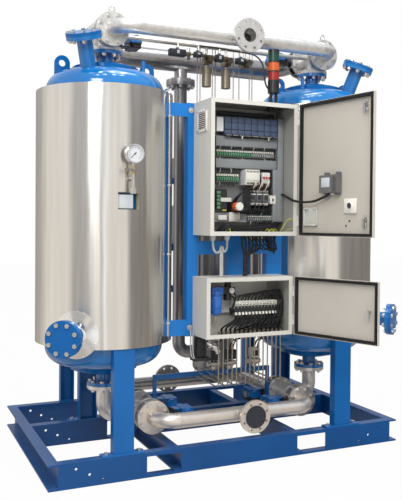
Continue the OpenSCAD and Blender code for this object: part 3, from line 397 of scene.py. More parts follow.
def makeRolledSteel(look):  # drawn or rolled metal: long grain one way, cloudy polish
    group, given, out = startGroup("rolledSteel", [
        colourIn, ("Grain", "NodeSocketVector", (40.0, 40.0, 1.2)), ("Streak", "NodeSocketFloat", 0.12),
        ("Shine", "NodeSocketFloat", 0.22)], filmOut)
    coords = addNode(group, "ShaderNodeTexCoord", -1100, -300)
    stretch = addNode(group, "ShaderNodeMapping", -850, -300)
    grain = addNoise(group, -600, -300, stretch.outputs["Vector"], 1, 6)
    cloud = addNoise(group, -600, -550, coords.outputs["Object"], look["cloudScale"], 4)
    both = addNode(group, "ShaderNodeMath", -350, -650, operation="ADD")
    link = group.links.new
    link(coords.outputs["Object"], stretch.inputs["Vector"])
    link(given.outputs["Grain"], stretch.inputs["Scale"])
    link(grain.outputs["Fac"], both.inputs[0])
    link(cloud.outputs["Fac"], both.inputs[1])
    tone = swingTone(group, given, grain, "Streak")
    return endFilm(group, given, out, tone, both.outputs[0], look["dulling"], grain.outputs["Fac"])


mouldSet = {"blotchScale": 18, "dulling": 0.12}


def makeMouldSkin(look):  # moulded plastic, rubber and castings: fine grain and soft blotches
    group, given, out = startGroup("mouldSkin", [
        colourIn, ("Grain Scale", "NodeSocketFloat", 500.0), ("Blotch", "NodeSocketFloat", 0.12),
        ("Shine", "NodeSocketFloat", 0.45)], filmOut)
    coords = addNode(group, "ShaderNodeTexCoord", -1100, -300)
    grain = addNoise(group, -800, -300, coords.outputs["Object"], 1, 2)
    blotch = addNoise(group, -800, -550, coords.outputs["Object"], look["blotchScale"], 3)
    group.links.new(given.outputs["Grain Scale"], grain.inputs["Scale"])
    tone = swingTone(group, given, blotch, "Blotch")
    return endFilm(group, given, out, tone, blotch.outputs["Fac"], look["dulling"], grain.outputs["Fac"])


def makeZoneMask():  # 1 inside a box given by two corners, in metres
    group, given, out = startGroup("zoneMask", [
        ("Low", "NodeSocketVector", (0.0, 0.0, 0.0)), ("High", "NodeSocketVector", (1.0, 1.0, 1.0))],
        [("Mask", "NodeSocketFloat")])
    coords = addNode(group, "ShaderNodeTexCoord", -1100, -300)
    parts = {}
    for row, (label, source) in enumerate((("Here", coords.outputs["Object"]), ("Low", given.outputs["Low"]),
                                           ("High", given.outputs["High"]))):
        parts[label] = addNode(group, "ShaderNodeSeparateXYZ", -850, -250 * row)
        group.links.new(source, parts[label].inputs[0])
    last = None
    for row, axis in enumerate("XYZ"):
        for column, (wall, test) in enumerate((("Low", "GREATER_THAN"), ("High", "LESS_THAN"))):
            side = addNode(group, "ShaderNodeMath", -550 + 200 * column, -220 * row, operation=test)
            group.links.new(parts["Here"].outputs[axis], side.inputs[0])
            group.links.new(parts[wall].outputs[axis], side.inputs[1])
            if last is None:
                last = side
                continue
            both = addNode(group, "ShaderNodeMath", 100 + 120 * (2 * row + column), 0, operation="MULTIPLY")
            group.links.new(last.outputs[0], both.inputs[0])
            group.links.new(side.outputs[0], both.inputs[1])
            last = both
    group.links.new(last.outputs[0], out.inputs["Mask"])
    return group


films = {"paint": makePaintFilm(paintSet), "rolled": makeRolledSteel(rolledSet),
         "mould": makeMouldSkin(mouldSet)}
zoneMask = makeZoneMask()


buckleScale = (3.4, 3.4, 1.3)  # of the waves in thin sheet


def finish(name, colour, film, metal=0.0, bump=0.1, depth=0.002, wave=0.0, zones=(), shader=(), **filmValues):
    # zones: (low, high, colour[, metal]) boxes in millimetres that carry another colour
    mat = bpy.data.materials.new(name)
    mat.use_nodes = True
    tree = mat.node_tree
    tree.nodes.clear()
    out = addNode(tree, "ShaderNodeOutputMaterial", 900, 0)
    skin = addNode(tree, "ShaderNodeBsdfPrincipled", 600, 0)
    coat = addNode(tree, "ShaderNodeGroup", 100, 0)
    relief = addNode(tree, "ShaderNodeBump", 350, -300)
    coat.node_tree = films[film]
    coat.inputs["Colour"].default_value = colour
    for label, value in filmValues.items():
        coat.inputs[label.replace("_", " ")].default_value = value
    for label, value in dict(shader).items():
        skin.inputs[label].default_value = value
    skin.inputs["Metallic"].default_value = metal
    relief.inputs["Strength"].default_value = bump
    relief.inputs["Distance"].default_value = depth
    link = tree.links.new
    if wave:  # slow buckles of thin sheet, in metres
        coords = addNode(tree, "ShaderNodeTexCoord", -500, -500)
        stretch = addNode(tree, "ShaderNodeMapping", -300, -500)
        buckle = addNoise(tree, -100, -500, stretch.outputs["Vector"], 1, 1)
        bend = addNode(tree, "ShaderNodeBump", 100, -500)
        stretch.inputs["Scale"].default_value = buckleScale
        bend.inputs["Strength"].default_value = 1
        bend.inputs["Distance"].default_value = wave
        link(coords.outputs["Object"], stretch.inputs["Vector"])
        link(buckle.outputs["Fac"], bend.inputs["Height"])
        link(bend.outputs["Normal"], relief.inputs["Normal"])
    lastColour, lastMetal = None, None
    anyMetal = any(len(zone) > 3 and zone[3] != metal for zone in zones)
    for step, zone in enumerate(zones):
        mask = addNode(tree, "ShaderNodeGroup", -900 + 250 * step, 300)
        mask.node_tree = zoneMask
        mask.inputs["Low"].default_value = mm(*zone[0])
        mask.inputs["High"].default_value = mm(*zone[1])
        pick = addNode(tree, "ShaderNodeMix", -700 + 250 * step, 100, data_type="RGBA")
        link(mask.outputs["Mask"], pick.inputs[0])
        if lastColour is None:
            pick.inputs[6].default_value = colour
        else:
            link(lastColour, pick.inputs[6])
        pick.inputs[7].default_value = zone[2]
        lastColour = pick.outputs[2]
        if anyMetal:
            swap = addNode(tree, "ShaderNodeMix", -700 + 250 * step, 500)
            link(mask.outputs["Mask"], swap.inputs[0])
            if lastMetal is None:
                swap.inputs[2].default_value = metal
            else:
                link(lastMetal, swap.inputs[2])
            swap.inputs[3].default_value = zone[3] if len(zone) > 3 else metal
            lastMetal = swap.outputs[0]
    if lastColour is not None:
        link(lastColour, coat.inputs["Colour"])
    if lastMetal is not None:
        link(lastMetal, skin.inputs["Metallic"])
    link(coat.outputs["Colour"], skin.inputs["Base Color"])
    link(coat.outputs["Roughness"], skin.inputs["Roughness"])
    link(coat.outputs["Height"], relief.inputs["Height"])
    link(relief.outputs["Normal"], skin.inputs["Normal"])
    link(skin.outputs[0], out.inputs[0])
    return mat


far = 9000  # past every side of the object


def zone(colour, x=(-far, far), y=(-far, far), z=(-far, far), metal=None):
    # right across the object where no span is given
    low, high = zip(x, y, z)
    return (low, high, colour) if metal is None else (low, high, colour, metal)


glossCoat = {"Coat Weight": 0.55, "Coat Roughness": 0.1}

coatBlue = finish("coatBlue", ink(8, 92, 158), "paint", bump=0.04, shader={"Specular IOR Level": 0.35},
                  Tone=0.08, Dust=0.05, Shine=0.22)
# darker copy of the blue paint for the skid: painted shade on the low beams
skidBlueShaded = finish("skidBlueShaded", ink(10, 72, 130), "paint", bump=0.04, shader={"Specular IOR Level": 0.35},
                  Tone=0.1, Dust=0.08, Shine=0.25)
# lighter copy of the blue paint for the panel frame: painted light on the posts that the towers and cabinets
# shade
panelBlueLit = finish("panelBlueLit", ink(14, 112, 188), "paint", bump=0.04, Tone=0.06, Dust=0.03, Shine=0.3)
vesselBlue = finish("vesselBlue", ink(14, 106, 172), "paint", bump=0.02, shader=glossCoat, Tone=0.06,
                    Dust=0.04, Shine=0.12)
actuatorMix = finish("actuatorMix", ink(10, 96, 164), "paint", bump=0.06, Tone=0.06, Shine=0.25, zones=[
    zone(ink(28, 28, 30), z=(2500, 2543)),
    zone(ink(28, 28, 30), z=(210, 252))])
claddingSheet = finish("claddingSheet", ink(226, 224, 220), "rolled", metal=1, bump=0.02, wave=0.014,
                       Streak=0.07, Shine=0.13, shader={"Anisotropic": 0.95, "Anisotropic Rotation": 0.25})
pipeSatin = finish("pipeSatin", ink(221, 219, 215), "rolled", metal=0.82, bump=0.05, Streak=0.10, Shine=0.3,
                   Grain=(30, 30, 30))
# warm tint on the inlet header's steel: painted reflection of a warm floor
inletSteelFloorTint = finish("inletSteelFloorTint", ink(231, 222, 212), "rolled", metal=0.8, bump=0.03, Streak=0.05, Shine=0.26,
                    Grain=(30, 30, 30))
# darker copy of the pipe steel for the regeneration header and exhaust manifold: painted shade and painted
# dark reflections inside the machine
headerSteelShaded = finish("headerSteelShaded", ink(168, 166, 165), "rolled", metal=1, bump=0.05, Streak=0.12, Shine=0.22,
                     Grain=(30, 30, 30))
boltZinc = finish("boltZinc", ink(222, 222, 220), "rolled", metal=1, bump=0.05, Streak=0.12, Shine=0.2,
                  Grain=(90, 90, 90))
# darker, browner steel for the instrument tubes: painted shade and painted reflection of the dark parts
# behind them
tubeSteelShaded = finish("tubeSteelShaded", ink(170, 163, 151), "rolled", metal=1, bump=0.04, Streak=0.15, Shine=0.24,
                   Grain=(50, 50, 12))
# darker steel on the heater vessel: painted shade where it sits inside the machine
jacketSteelShaded = finish("jacketSteelShaded", ink(150, 150, 152), "rolled", metal=1, bump=0.03, Streak=0.14, Shine=0.2)
polishedSteel = finish("polishedSteel", ink(232, 232, 232), "rolled", metal=1, bump=0.02, Shine=0.06,
                       Grain=(200, 200, 200))
stackSteel = finish("stackSteel", ink(206, 204, 198), "rolled", metal=1, bump=0.05, Shine=0.2,
                    Grain=(120, 120, 120), zones=[zone(ink(196, 178, 140), z=(1690, 1735), metal=1)])
manifoldMetal = finish("manifoldMetal", ink(206, 202, 194), "rolled", metal=1, bump=0.08, Shine=0.26,
                       Grain=(160, 160, 160), zones=[
                           zone(ink(142, 132, 114), z=(2200, 2425), metal=0.6),
                           zone(ink(120, 112, 96), y=(-470, -360), z=(2434, 2492), metal=1)])
ironBlack = finish("ironBlack", ink(38, 39, 42), "mould", bump=0.35, Grain_Scale=260, Blotch=0.2, Shine=0.4)
discSteel = finish("discSteel", ink(196, 196, 196), "rolled", metal=1, bump=0.06, Shine=0.22,
                   Grain=(60, 60, 60))
woolJacket = finish("woolJacket", ink(206, 196, 160), "mould", bump=0.8, Grain_Scale=120, Blotch=0.3,
                    Shine=0.85)
beadBed = finish("beadBed", ink(238, 238, 234), "mould", bump=1.0, Grain_Scale=240, Blotch=0.1, Shine=0.6)
needleBlack = finish("needleBlack", ink(22, 22, 24), "paint", bump=0.02, Shine=0.35)
leverSteel = finish("leverSteel", ink(150, 150, 152), "rolled", metal=1, bump=0.04, Shine=0.25)
coverBlack = finish("coverBlack", ink(38, 42, 50), "mould", bump=0.2, Blotch=0.15, Shine=0.38)
blowerCast = finish("blowerCast", ink(150, 156, 164), "mould", metal=0.6, bump=0.4, Grain_Scale=220,
                    Shine=0.42)
cabinetCoat = finish("cabinetCoat", ink(204, 201, 192), "paint", bump=0.10, Peel_Scale=420, Tone=0.04,
                     Dust=0.05, Shine=0.38, zones=[
                         # painted shade: these three zones darken the upper cabinet's inner right wall, a
                         # strip under its roof inside, and the lower cabinet's inner right wall
                         zone(ink(158, 157, 152), (240, 306.9), (-884, -652), (1362, 2132)),
                         zone(ink(120, 119, 115), (-258, 306.9), (-884, -652), (2125, 2136)),
                         zone(ink(168, 167, 162), (240, 306.9), (-844, -652), (767, 1108))])
# darker, warmer copy of the cabinet paint for the doors: partly the doors' own warmer tone, partly painted
# shade against the extra light the open doors catch
doorCoatShaded = finish("doorCoatShaded", ink(188, 181, 170), "paint", bump=0.10, Peel_Scale=420, Tone=0.04, Dust=0.05,
                  Shine=0.38)
gasketFoam = finish("gasketFoam", ink(20, 20, 22), "mould", bump=0.5, Grain_Scale=700, Shine=0.75)
plateZinc = finish("plateZinc", ink(140, 142, 142), "rolled", metal=0.4, bump=0.03, Streak=0.06, Shine=0.35,
                   Grain=(14, 14, 3))
ductGrey = finish("ductGrey", ink(136, 139, 140), "mould", bump=0.1, Blotch=0.05, Shine=0.45)
moduleSlate = finish("moduleSlate", ink(72, 86, 112), "mould", bump=0.15, Blotch=0.08, Shine=0.4, zones=[
    zone(ink(228, 229, 230), x=(-170, -112), z=(1960, 2070))])
# the dark base colour of the terminal strips is painted shade in the gaps between the terminal blocks
terminalMix = finish("terminalMix", ink(66, 72, 70), "mould", bump=0.15, Blotch=0.25, Shine=0.42, zones=[
    zone(ink(160, 162, 162), x=(-far, 60), z=(1430, 1500)),
    zone(ink(92, 106, 118), x=(60, 160), z=(1430, 1500)),
    zone(ink(70, 96, 80), x=(160, far), z=(1430, 1500))])
switchMix = finish("switchMix", ink(222, 223, 222), "mould", bump=0.1, Blotch=0.06, Shine=0.38, zones=[
    zone(ink(62, 64, 68), x=(40, 192), z=(1500, 1640)),
    zone(ink(34, 34, 36), x=(-60, 20), z=(1490, 1565)),
    zone(ink(40, 42, 44), x=(-160, -70), z=(1500, 1640))])
islandMix = finish("islandMix", ink(206, 205, 198), "mould", bump=0.1, Blotch=0.08, Shine=0.38, zones=[
    zone(ink(40, 42, 44), y=(-far, -683), z=(880, 921)),
    zone(ink(160, 162, 164), y=(-682, far), z=(880, 980))])
regulatorMix = finish("regulatorMix", ink(38, 100, 184), "mould", bump=0.08, Blotch=0.05, Shine=0.22, zones=[
    zone(ink(30, 31, 33), x=(-112, far), z=(900, 1100))])
knobBlack = finish("knobBlack", ink(26, 26, 28), "mould", bump=0.2, Shine=0.45)
knobOrange = finish("knobOrange", ink(226, 92, 36), "mould", bump=0.08, Shine=0.3)
panelGrey = finish("panelGrey", ink(104, 102, 100), "mould", bump=0.15, Blotch=0.08, Shine=0.45)
lampStack = finish("lampStack", ink(30, 30, 32), "mould", bump=0.06, Blotch=0.08, Shine=0.25, zones=[
    zone(ink(140, 30, 24), z=(2302, 2352)),
    zone(ink(188, 84, 26), z=(2360, 2410)),
    zone(ink(14, 60, 48), z=(2418, 2468))])
dialWhite = finish("dialWhite", ink(204, 206, 208), "mould", bump=0.02, Blotch=0.02, Shine=0.35)
plateWhite = finish("plateWhite", ink(196, 202, 206), "paint", bump=0.02, Tone=0.03, Shine=0.3)
cableBlack = finish("cableBlack", ink(24, 24, 26), "mould", bump=0.2, Grain_Scale=900, Shine=0.5)
conduitGrey = finish("conduitGrey", ink(188, 190, 186), "mould", bump=0.2, Grain_Scale=600, Shine=0.5)
socketWhite = finish("socketWhite", ink(226, 222, 212), "mould", bump=0.05, Blotch=0.03, Shine=0.35)
tagYellow = finish("tagYellow", ink(222, 190, 66), "mould", bump=0.05, Shine=0.4)
tipRed = finish("tipRed", ink(176, 40, 32), "mould", bump=0.05, Shine=0.3)
rackSlate = finish("rackSlate", ink(76, 90, 116), "mould", bump=0.1, Grain_Scale=300, Blotch=0.1, Shine=0.4)
terminalGreen = finish("terminalGreen", ink(92, 148, 112), "mould", bump=0.1, Blotch=0.2, Shine=0.4)
terminalGrey = finish("terminalGrey", ink(150, 154, 152), "mould", bump=0.1, Blotch=0.15, Shine=0.4)
gearGrey = finish("gearGrey", ink(50, 52, 56), "mould", bump=0.12, Blotch=0.12, Shine=0.42)
coilIvory = finish("coilIvory", ink(216, 214, 198), "mould", bump=0.06, Blotch=0.06, Shine=0.36)
bowlBlue = finish("bowlBlue", ink(36, 104, 190), "mould", bump=0.04, Blotch=0.05, Shine=0.2, shader=glossCoat)
pocketGrey = finish("pocketGrey", ink(196, 196, 188), "mould", bump=0.06, Blotch=0.04, Shine=0.4)
panelDark = finish("panelDark", ink(98, 98, 100), "mould", bump=0.12, Blotch=0.1, Shine=0.42)
wireBrown = finish("wireBrown", ink(104, 60, 40), "mould", bump=0.1, Blotch=0.15, Shine=0.4)
earthStripe = finish("earthStripe", ink(190, 196, 64), "mould", bump=0.1, Blotch=0.35, Shine=0.4)

nodeFinish = {
    "skid_long_beams": skidBlueShaded, "skid_cross_members": skidBlueShaded, "left_vessel": vesselBlue,
    "right_vessel": vesselBlue, "tower_legs": coatBlue, "blind_flanges": coatBlue, "lifting_lugs": coatBlue,
    "valve_actuators": actuatorMix, "pipe_supports": coatBlue, "panel_frame": panelBlueLit,
    "claddings": claddingSheet, "heater_vessel": jacketSteelShaded, "regen_header": headerSteelShaded,
    "top_tees": pipeSatin, "outlet_header": pipeSatin, "bottom_spools": pipeSatin, "inlet_header": inletSteelFloorTint,
    "exhaust_manifold": headerSteelShaded, "instrument_tubes": tubeSteelShaded, "bolts": boltZinc,
    "gauge_stacks": stackSteel, "pilot_manifold": manifoldMetal, "valve_bodies": ironBlack,
    "check_valve_bodies": boltZinc, "insulation_jackets": woolJacket, "desiccant_beds": beadBed,
    "left_gauge_needle": needleBlack, "right_gauge_needle": needleBlack, "left_cock_lever": leverSteel,
    "right_cock_lever": leverSteel, "inlet_cover": coverBlack, "signal_tower": lampStack,
    "regeneration_blower": blowerCast, "upper_enclosure": cabinetCoat, "lower_enclosure": cabinetCoat,
    "upper_door": doorCoatShaded, "lower_door": doorCoatShaded, "upper_gasket": gasketFoam, "lower_gasket": gasketFoam,
    "mounting_plate": plateZinc, "cable_ducts": ductGrey, "control_modules": moduleSlate,
    "terminal_strips": terminalMix, "switchgear": switchMix, "valve_island": islandMix,
    "switch_knob": knobOrange, "regulator_knob": knobBlack, "operator_panel": panelGrey,
    "filter_regulator": regulatorMix,
}
for nodeName, node in cadNodes.items():
    mat = nodeFinish.get(nodeName, discSteel)  # discs, flaps and latches
    if node.data.materials:
        for index in range(len(node.data.materials)):
            node.data.materials[index] = mat
    else:
        node.data.materials.append(mat)
for cord in (panelCord, signalCord):
    cord.data.materials.append(cableBlack)
print("finishes set on the solids")


# modelling helpers

def addBox(bm, low, high, edge=1.0, segments=2):
    low, high = mm(*low), mm(*high)
    made = bmesh.ops.create_cube(bm, size=1)["verts"]
    bmesh.ops.scale(bm, verts=made, vec=high - low)
    bmesh.ops.translate(bm, verts=made, vec=(low + high) / 2)
    if edge:
        rims = list(dict.fromkeys(e for v in made for e in v.link_edges))  # each once, in a fixed order
        bmesh.ops.bevel(bm, geom=rims, offset=edge / 1000, segments=segments, profile=0.5, affect="EDGES",
                        material=-1, clamp_overlap=True)


def facing(spot, axis):  # local Z turned along axis, at spot
    return Matrix.Translation(mm(*spot)) @ Vector(axis).to_track_quat("Z", "Y").to_matrix().to_4x4()


def addSpin(bm, profile, spot, axis, steps=40):  # profile: (radius, along) pairs, closed into a ring
    before = set(bm.verts)
    ring = [bm.verts.new((r / 1000, 0, h / 1000)) for r, h in profile]
    edges = [bm.edges.new((ring[i], ring[(i + 1) % len(ring)])) for i in range(len(ring))]
    bmesh.ops.spin(bm, geom=ring + edges, cent=(0, 0, 0), axis=(0, 0, 1), dvec=(0, 0, 0), angle=2 * math.pi,
                   steps=steps, use_merge=True, use_duplicate=False)
    made = [v for v in bm.verts if v not in before]
    bmesh.ops.remove_doubles(bm, verts=made, dist=1e-6)
    made = [v for v in bm.verts if v not in before]
    bmesh.ops.recalc_face_normals(bm, faces=list(dict.fromkeys(f for v in made for f in v.link_faces)))
    bmesh.ops.transform(bm, matrix=facing(spot, axis), verts=made)


def addRod(bm, start, end, radius, sides=16, tip=None):
    a, b = Vector(start), Vector(end)
    made = bmesh.ops.create_cone(bm, cap_ends=True, segments=sides, radius1=radius / 1000,
                                 radius2=(radius if tip is None else tip) / 1000,
                                 depth=(b - a).length / 1000)["verts"]
    bmesh.ops.transform(bm, matrix=facing((a + b) / 2, b - a), verts=made)


def addBead(bm, spot, axis, ringR, beadR, steps=32):  # weld seam round a pipe
    turns = [t * math.pi / 4 for t in range(8)]
    profile = [(ringR + beadR * math.cos(turn), beadR * math.sin(turn)) for turn in turns]
    addSpin(bm, profile, spot, axis, steps)


def joinTurned(bm, part, place):  # a loose part moved to its place and joined to bm
    bmesh.ops.transform(part, matrix=place, verts=part.verts)
    mesh = bpy.data.meshes.new("part")
    part.to_mesh(mesh)
    part.free()
    bm.from_mesh(mesh)
    bpy.data.meshes.remove(mesh)


sharpAngle = 35  # degrees, past which an edge stays sharp


def setPiece(name, bm, body, mat, place=None):
    if place is not None:
        bmesh.ops.transform(bm, matrix=place, verts=bm.verts)
    mesh = bpy.data.meshes.new(name)
    bm.to_mesh(mesh)
    bm.free()
    for face in mesh.polygons:
        face.use_smooth = True
    mesh.set_sharp_from_angle(angle=math.radians(sharpAngle))
    mesh.materials.append(mat)
    piece = bpy.data.objects.new(name, mesh)
    scene.collection.objects.link(piece)
    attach(piece, body)
    return piece


def setCable(name, runs, radius, body, mat):
    curve = bpy.data.curves.new(name, "CURVE")
    curve.dimensions = "3D"
    curve.bevel_depth = radius / 1000
    curve.bevel_resolution = 3
    curve.resolution_u = 8
    curve.use_fill_caps = True
    for run in runs:
        spline = curve.splines.new("NURBS")
        spline.points.add(len(run) - 1)
        for point, spot in zip(spline.points, run):
            point.co = (*mm(*spot), 1)
        spline.order_u = min(4, len(run))
        spline.use_endpoint_u = True
    piece = bpy.data.objects.new(name, curve)
    scene.collection.objects.link(piece)
    curve.materials.append(mat)
    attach(piece, body)


# gauges on both towers

gaugeSet = {"x": 705, "dialY": -872.1, "z": 1800, "dialR": 44.6, "ticks": 41, "tickR": 37, "start": 225,
            "sweep": 270, "longTick": (10, 0.9), "shortTick": (5.5, 0.5),
            "rim": [(44.4, 4.1), (45.4, 6.6), (49.0, 7.4), (52.0, 6.0), (52.6, -24), (50.2, -26),
                    (50.2, 4.1)]}


def makeGauges(look):
    face, marks, rim = (bmesh.new() for _ in range(3))
    for side in (-1, 1):
        spot = (side * look["x"], look["dialY"], look["z"])
        addRod(face, (spot[0], spot[1] + 0.6, spot[2]), spot, look["dialR"], 48)
        for step in range(look["ticks"]):
            turn = math.radians(look["start"] - look["sweep"] * step / (look["ticks"] - 1))
            long, wide = look["longTick"] if step % 5 == 0 else look["shortTick"]
            tick = bmesh.new()
            addBox(tick, (look["tickR"] - long, -wide, 0), (look["tickR"], wide, 0.15), edge=0)
            joinTurned(marks, tick, facing(spot, (0, -1, 0)) @ Matrix.Rotation(turn, 4, "Z"))
        addSpin(rim, look["rim"], spot, (0, -1, 0), 56)
    setPiece("gaugeDials", face, "frame", dialWhite)
    setPiece("gaugeMarks", marks, "frame", needleBlack)
    setPiece("gaugeRims", rim, "frame", polishedSteel)


makeGauges(gaugeSet)


# bare plate in the window of the left tower's cladding

plateSet = {"x": (-772, -682), "z": (1506, 1582), "y": -776, "thick": 2.5, "wall": -738, "inset": 8}


def makeTowerPlate(look):
    plate, pegs = bmesh.new(), bmesh.new()
    (x0, x1), (z0, z1), y, inset = look["x"], look["z"], look["y"], look["inset"]
    addBox(plate, (x0, y, z0), (x1, y + look["thick"], z1), 1.2)
    for x in (x0 + inset, x1 - inset):
        for z in (z0 + inset, z1 - inset):
            addRod(pegs, (x, look["wall"], z), (x, y + 1, z), 3, 10)
            addRod(pegs, (x, y - 0.2, z), (x, y - 1.6, z), 2.6, 10, 1.6)
    setPiece("towerPlate", plate, "frame", plateWhite)
    setPiece("towerPlatePegs", pegs, "frame", boltZinc)


makeTowerPlate(plateSet)


# louvred vent on the upper cabinet's side, with a dark sheet behind the blades as painted shade in the slots

ventSet = {"face": -262, "y": (-842, -712), "z": (1954, 2082), "border": 14, "blades": 9, "lean": -38}


def makeVent(look):
    grille, shadeBacking = bmesh.new(), bmesh.new()
    x, (y0, y1), (z0, z1), edge = look["face"], look["y"], look["z"], look["border"]
    for low, high in (((y0, z0), (y1, z0 + edge)), ((y0, z1 - edge), (y1, z1)), ((y0, z0), (y0 + edge, z1)),
                      ((y1 - edge, z0), (y1, z1))):
        addBox(grille, (x - 9, low[0], low[1]), (x - 0.2, high[0], high[1]), 1.5)
    pitch = (z1 - z0 - 2 * edge) / look["blades"]
    for step in range(look["blades"]):
        z = z0 + edge + pitch * (step + 0.5)
        blade = bmesh.new()
        addBox(blade, (-4.5, y0 + edge - 1, -1.2), (4.5, y1 - edge + 1, 1.2), 0.5)
        lean = Matrix.Rotation(math.radians(look["lean"]), 4, "Y")
        joinTurned(grille, blade, Matrix.Translation(mm(x - 5, 0, z)) @ lean)
    # dark sheet behind the louvres: painted shade in the slots
    addBox(shadeBacking, (x - 2.2, y0 + edge - 2, z0 + edge - 2), (x - 0.3, y1 - edge + 2, z1 - edge + 2), 0.6)
    setPiece("sideVent", grille, "frame", socketWhite)
    setPiece("ventShadeBacking", shadeBacking, "frame", gearGrey)


makeVent(ventSet)
print("gauges, plate and vent made")


# weld seams of the process piping and the left post's bolts

seamSet = {"pipeR": 44.6, "beadR": 2.2, "rows": [{"y": -654, "z": 2552, "x": (-616, 616, -38, 138)},
                                                 {"y": -678, "z": 265, "x": (-356, 454, 12, 188)}]}
postBoltSet = {"x": -281, "face": -650, "z": (2096, 806), "r": 11}


def makeSeams(look):
    bm = bmesh.new()
    for row in look["rows"]:
        for x in row["x"]:
            addBead(bm, (x, row["y"], row["z"]), (1, 0, 0), look["pipeR"], look["beadR"])
    setPiece("pipeSeams", bm, "frame", pipeSatin)


def makePostBolts(look):
    bm = bmesh.new()
    for z in look["z"]:
        spot = (look["x"], look["face"], z)
        addSpin(bm, [(0.01, 0.2), (17, 0.2), (17, 2.6), (0.01, 2.6)], spot, (0, -1, 0), 24)
        addRod(bm, (look["x"], look["face"] - 2.5, z), (look["x"], look["face"] - 10, z), look["r"], 6)
        addSpin(bm, [(0.01, 10), (6, 10), (5, 16), (0.01, 16.6)], spot, (0, -1, 0), 16)
    setPiece("postBolts", bm, "frame", boltZinc)


makeSeams(seamSet)
makePostBolts(postBoltSet)


# polished collars where the drain nozzles leave the cladding

collarSet = {"towerX": 730, "towerY": -390, "bearing": -129, "z": 810, "hole": 47, "rim": 132, "clad": 405}


def wrapped(look, side, radius, turn, proud):  # a point round the nozzle, laid on the cladding
    u, w = radius * math.cos(turn), radius * math.sin(turn)
    along = math.sqrt(look["clad"] ** 2 - u * u) + proud
    bearing = math.radians(look["bearing"])
    x = along * math.cos(bearing) - u * math.sin(bearing)
    y = along * math.sin(bearing) + u * math.cos(bearing)
    return mm(-side * (-look["towerX"] + x), look["towerY"] + y, look["z"] + w)


def makeCollars(look):
    bm = bmesh.new()
    profile = [(look["hole"], 0.4), (look["hole"], 9), (look["hole"] + 3, 10), (look["hole"] + 16, 4.2),
               (look["rim"] - 3, 3.2), (look["rim"], 2.2), (look["rim"], 0.4)]
    steps = 56
    for side in (-1, 1):
        rings = [[bm.verts.new(wrapped(look, side, r, 2 * math.pi * k / steps, proud)) for k in range(steps)]
                 for r, proud in profile]
        for one, two in zip(rings, rings[1:] + rings[:1]):
            for k in range(steps):
                bm.faces.new((one[k], one[(k + 1) % steps], two[(k + 1) % steps], two[k]))
        for step in range(8):
            spot = wrapped(look, side, look["rim"] - 8, 2 * math.pi * (step + 0.5) / 8, 3.4)
            head = bmesh.ops.create_icosphere(bm, subdivisions=2, radius=0.0032)["verts"]
            bmesh.ops.translate(bm, verts=head, vec=spot)
    bmesh.ops.recalc_face_normals(bm, faces=bm.faces)
    setPiece("drainCollars", bm, "frame", polishedSteel)


makeCollars(collarSet)


# thin bright tube down the left tower, on clips

riserTubeSet = {"x": -436, "y": -694, "z": (770, 2196), "r": 4.5, "clips": (840, 1240, 1640, 2040)}


def makeRiserTube(look):
    x, y, (low, high) = look["x"], look["y"], look["z"]
    run = [(x, y, low), (x, y, low + 60), (x, y, (low + high) / 2), (x, y, high - 90), (x, y, high - 20),
           (x + 4, y + 30, high + 14), (x + 10, y + 90, high + 16)]
    setCable("riserTube", [run], look["r"], "frame", polishedSteel)
    bm = bmesh.new()
    for z in look["clips"]:
        addBox(bm, (x - 9, y - 6.5, z), (x + 9, y + 9, z + 12), 2)
        addRod(bm, (x + 7, y - 6, z + 6), (x + 7, y - 10, z + 6), 3.2, 6)
    setPiece("riserTubeClips", bm, "frame", boltZinc)


makeRiserTube(riserTubeSet)
print("seams, bolts, collars and riser tube made")


# upper cabinet: fronts of the devices on the mounting plate

rackSet = {"x": -109, "z": 1952, "pitch": 45, "count": 8, "front": -742.2, "proud": 9.5,
           "rows": ((1.5, 30), (33, 72), (75, 106.5)), "pins": 6, "linked": (2, 6)}
ductFront = -732.2
levelDucts = {"boxes": [((-156, 1887), (257, 1945)), ((-156, 1759), (257, 1811))], "lid": -736,
              "comb": (-731, -684), "fingers": 40}
uprightDucts = {"boxes": [((261, 1440), (301, 2070)), ((228, 1440), (261, 1758))], "lid": -742,
                "comb": (-732, -676), "pitch": 10}


def makeRackFronts(look):
    covers, plugs, tips = (bmesh.new() for _ in range(3))
    front, z = look["front"], look["z"]
    for step in range(look["count"]):
        x = look["x"] + look["pitch"] * step
        for low, high in look["rows"]:
            addBox(covers, (x + 0.8, front - look["proud"], z + low), (x + 43.2, front, z + high), 1.6)
        addBox(plugs, (x + 2, front - 24, z - 8), (x + 42, front - 4, z + 1), 1.2)
        for pin in range(look["pins"]):
            u = x + 6 + 6.4 * pin
            addBox(tips, (u - 1.3, front - 25.5, z - 5), (u + 1.3, front - 22, z - 2), 0)
        if step in look["linked"]:
            addBox(tips, (x + 18, front - 26, z - 22), (x + 24, front - 22, z - 4), 0.8)
    setPiece("rackFronts", covers, "frame", rackSlate)
    setPiece("rackPlugs", plugs, "frame", cableBlack)
    setPiece("rackPlugTips", tips, "frame", socketWhite)


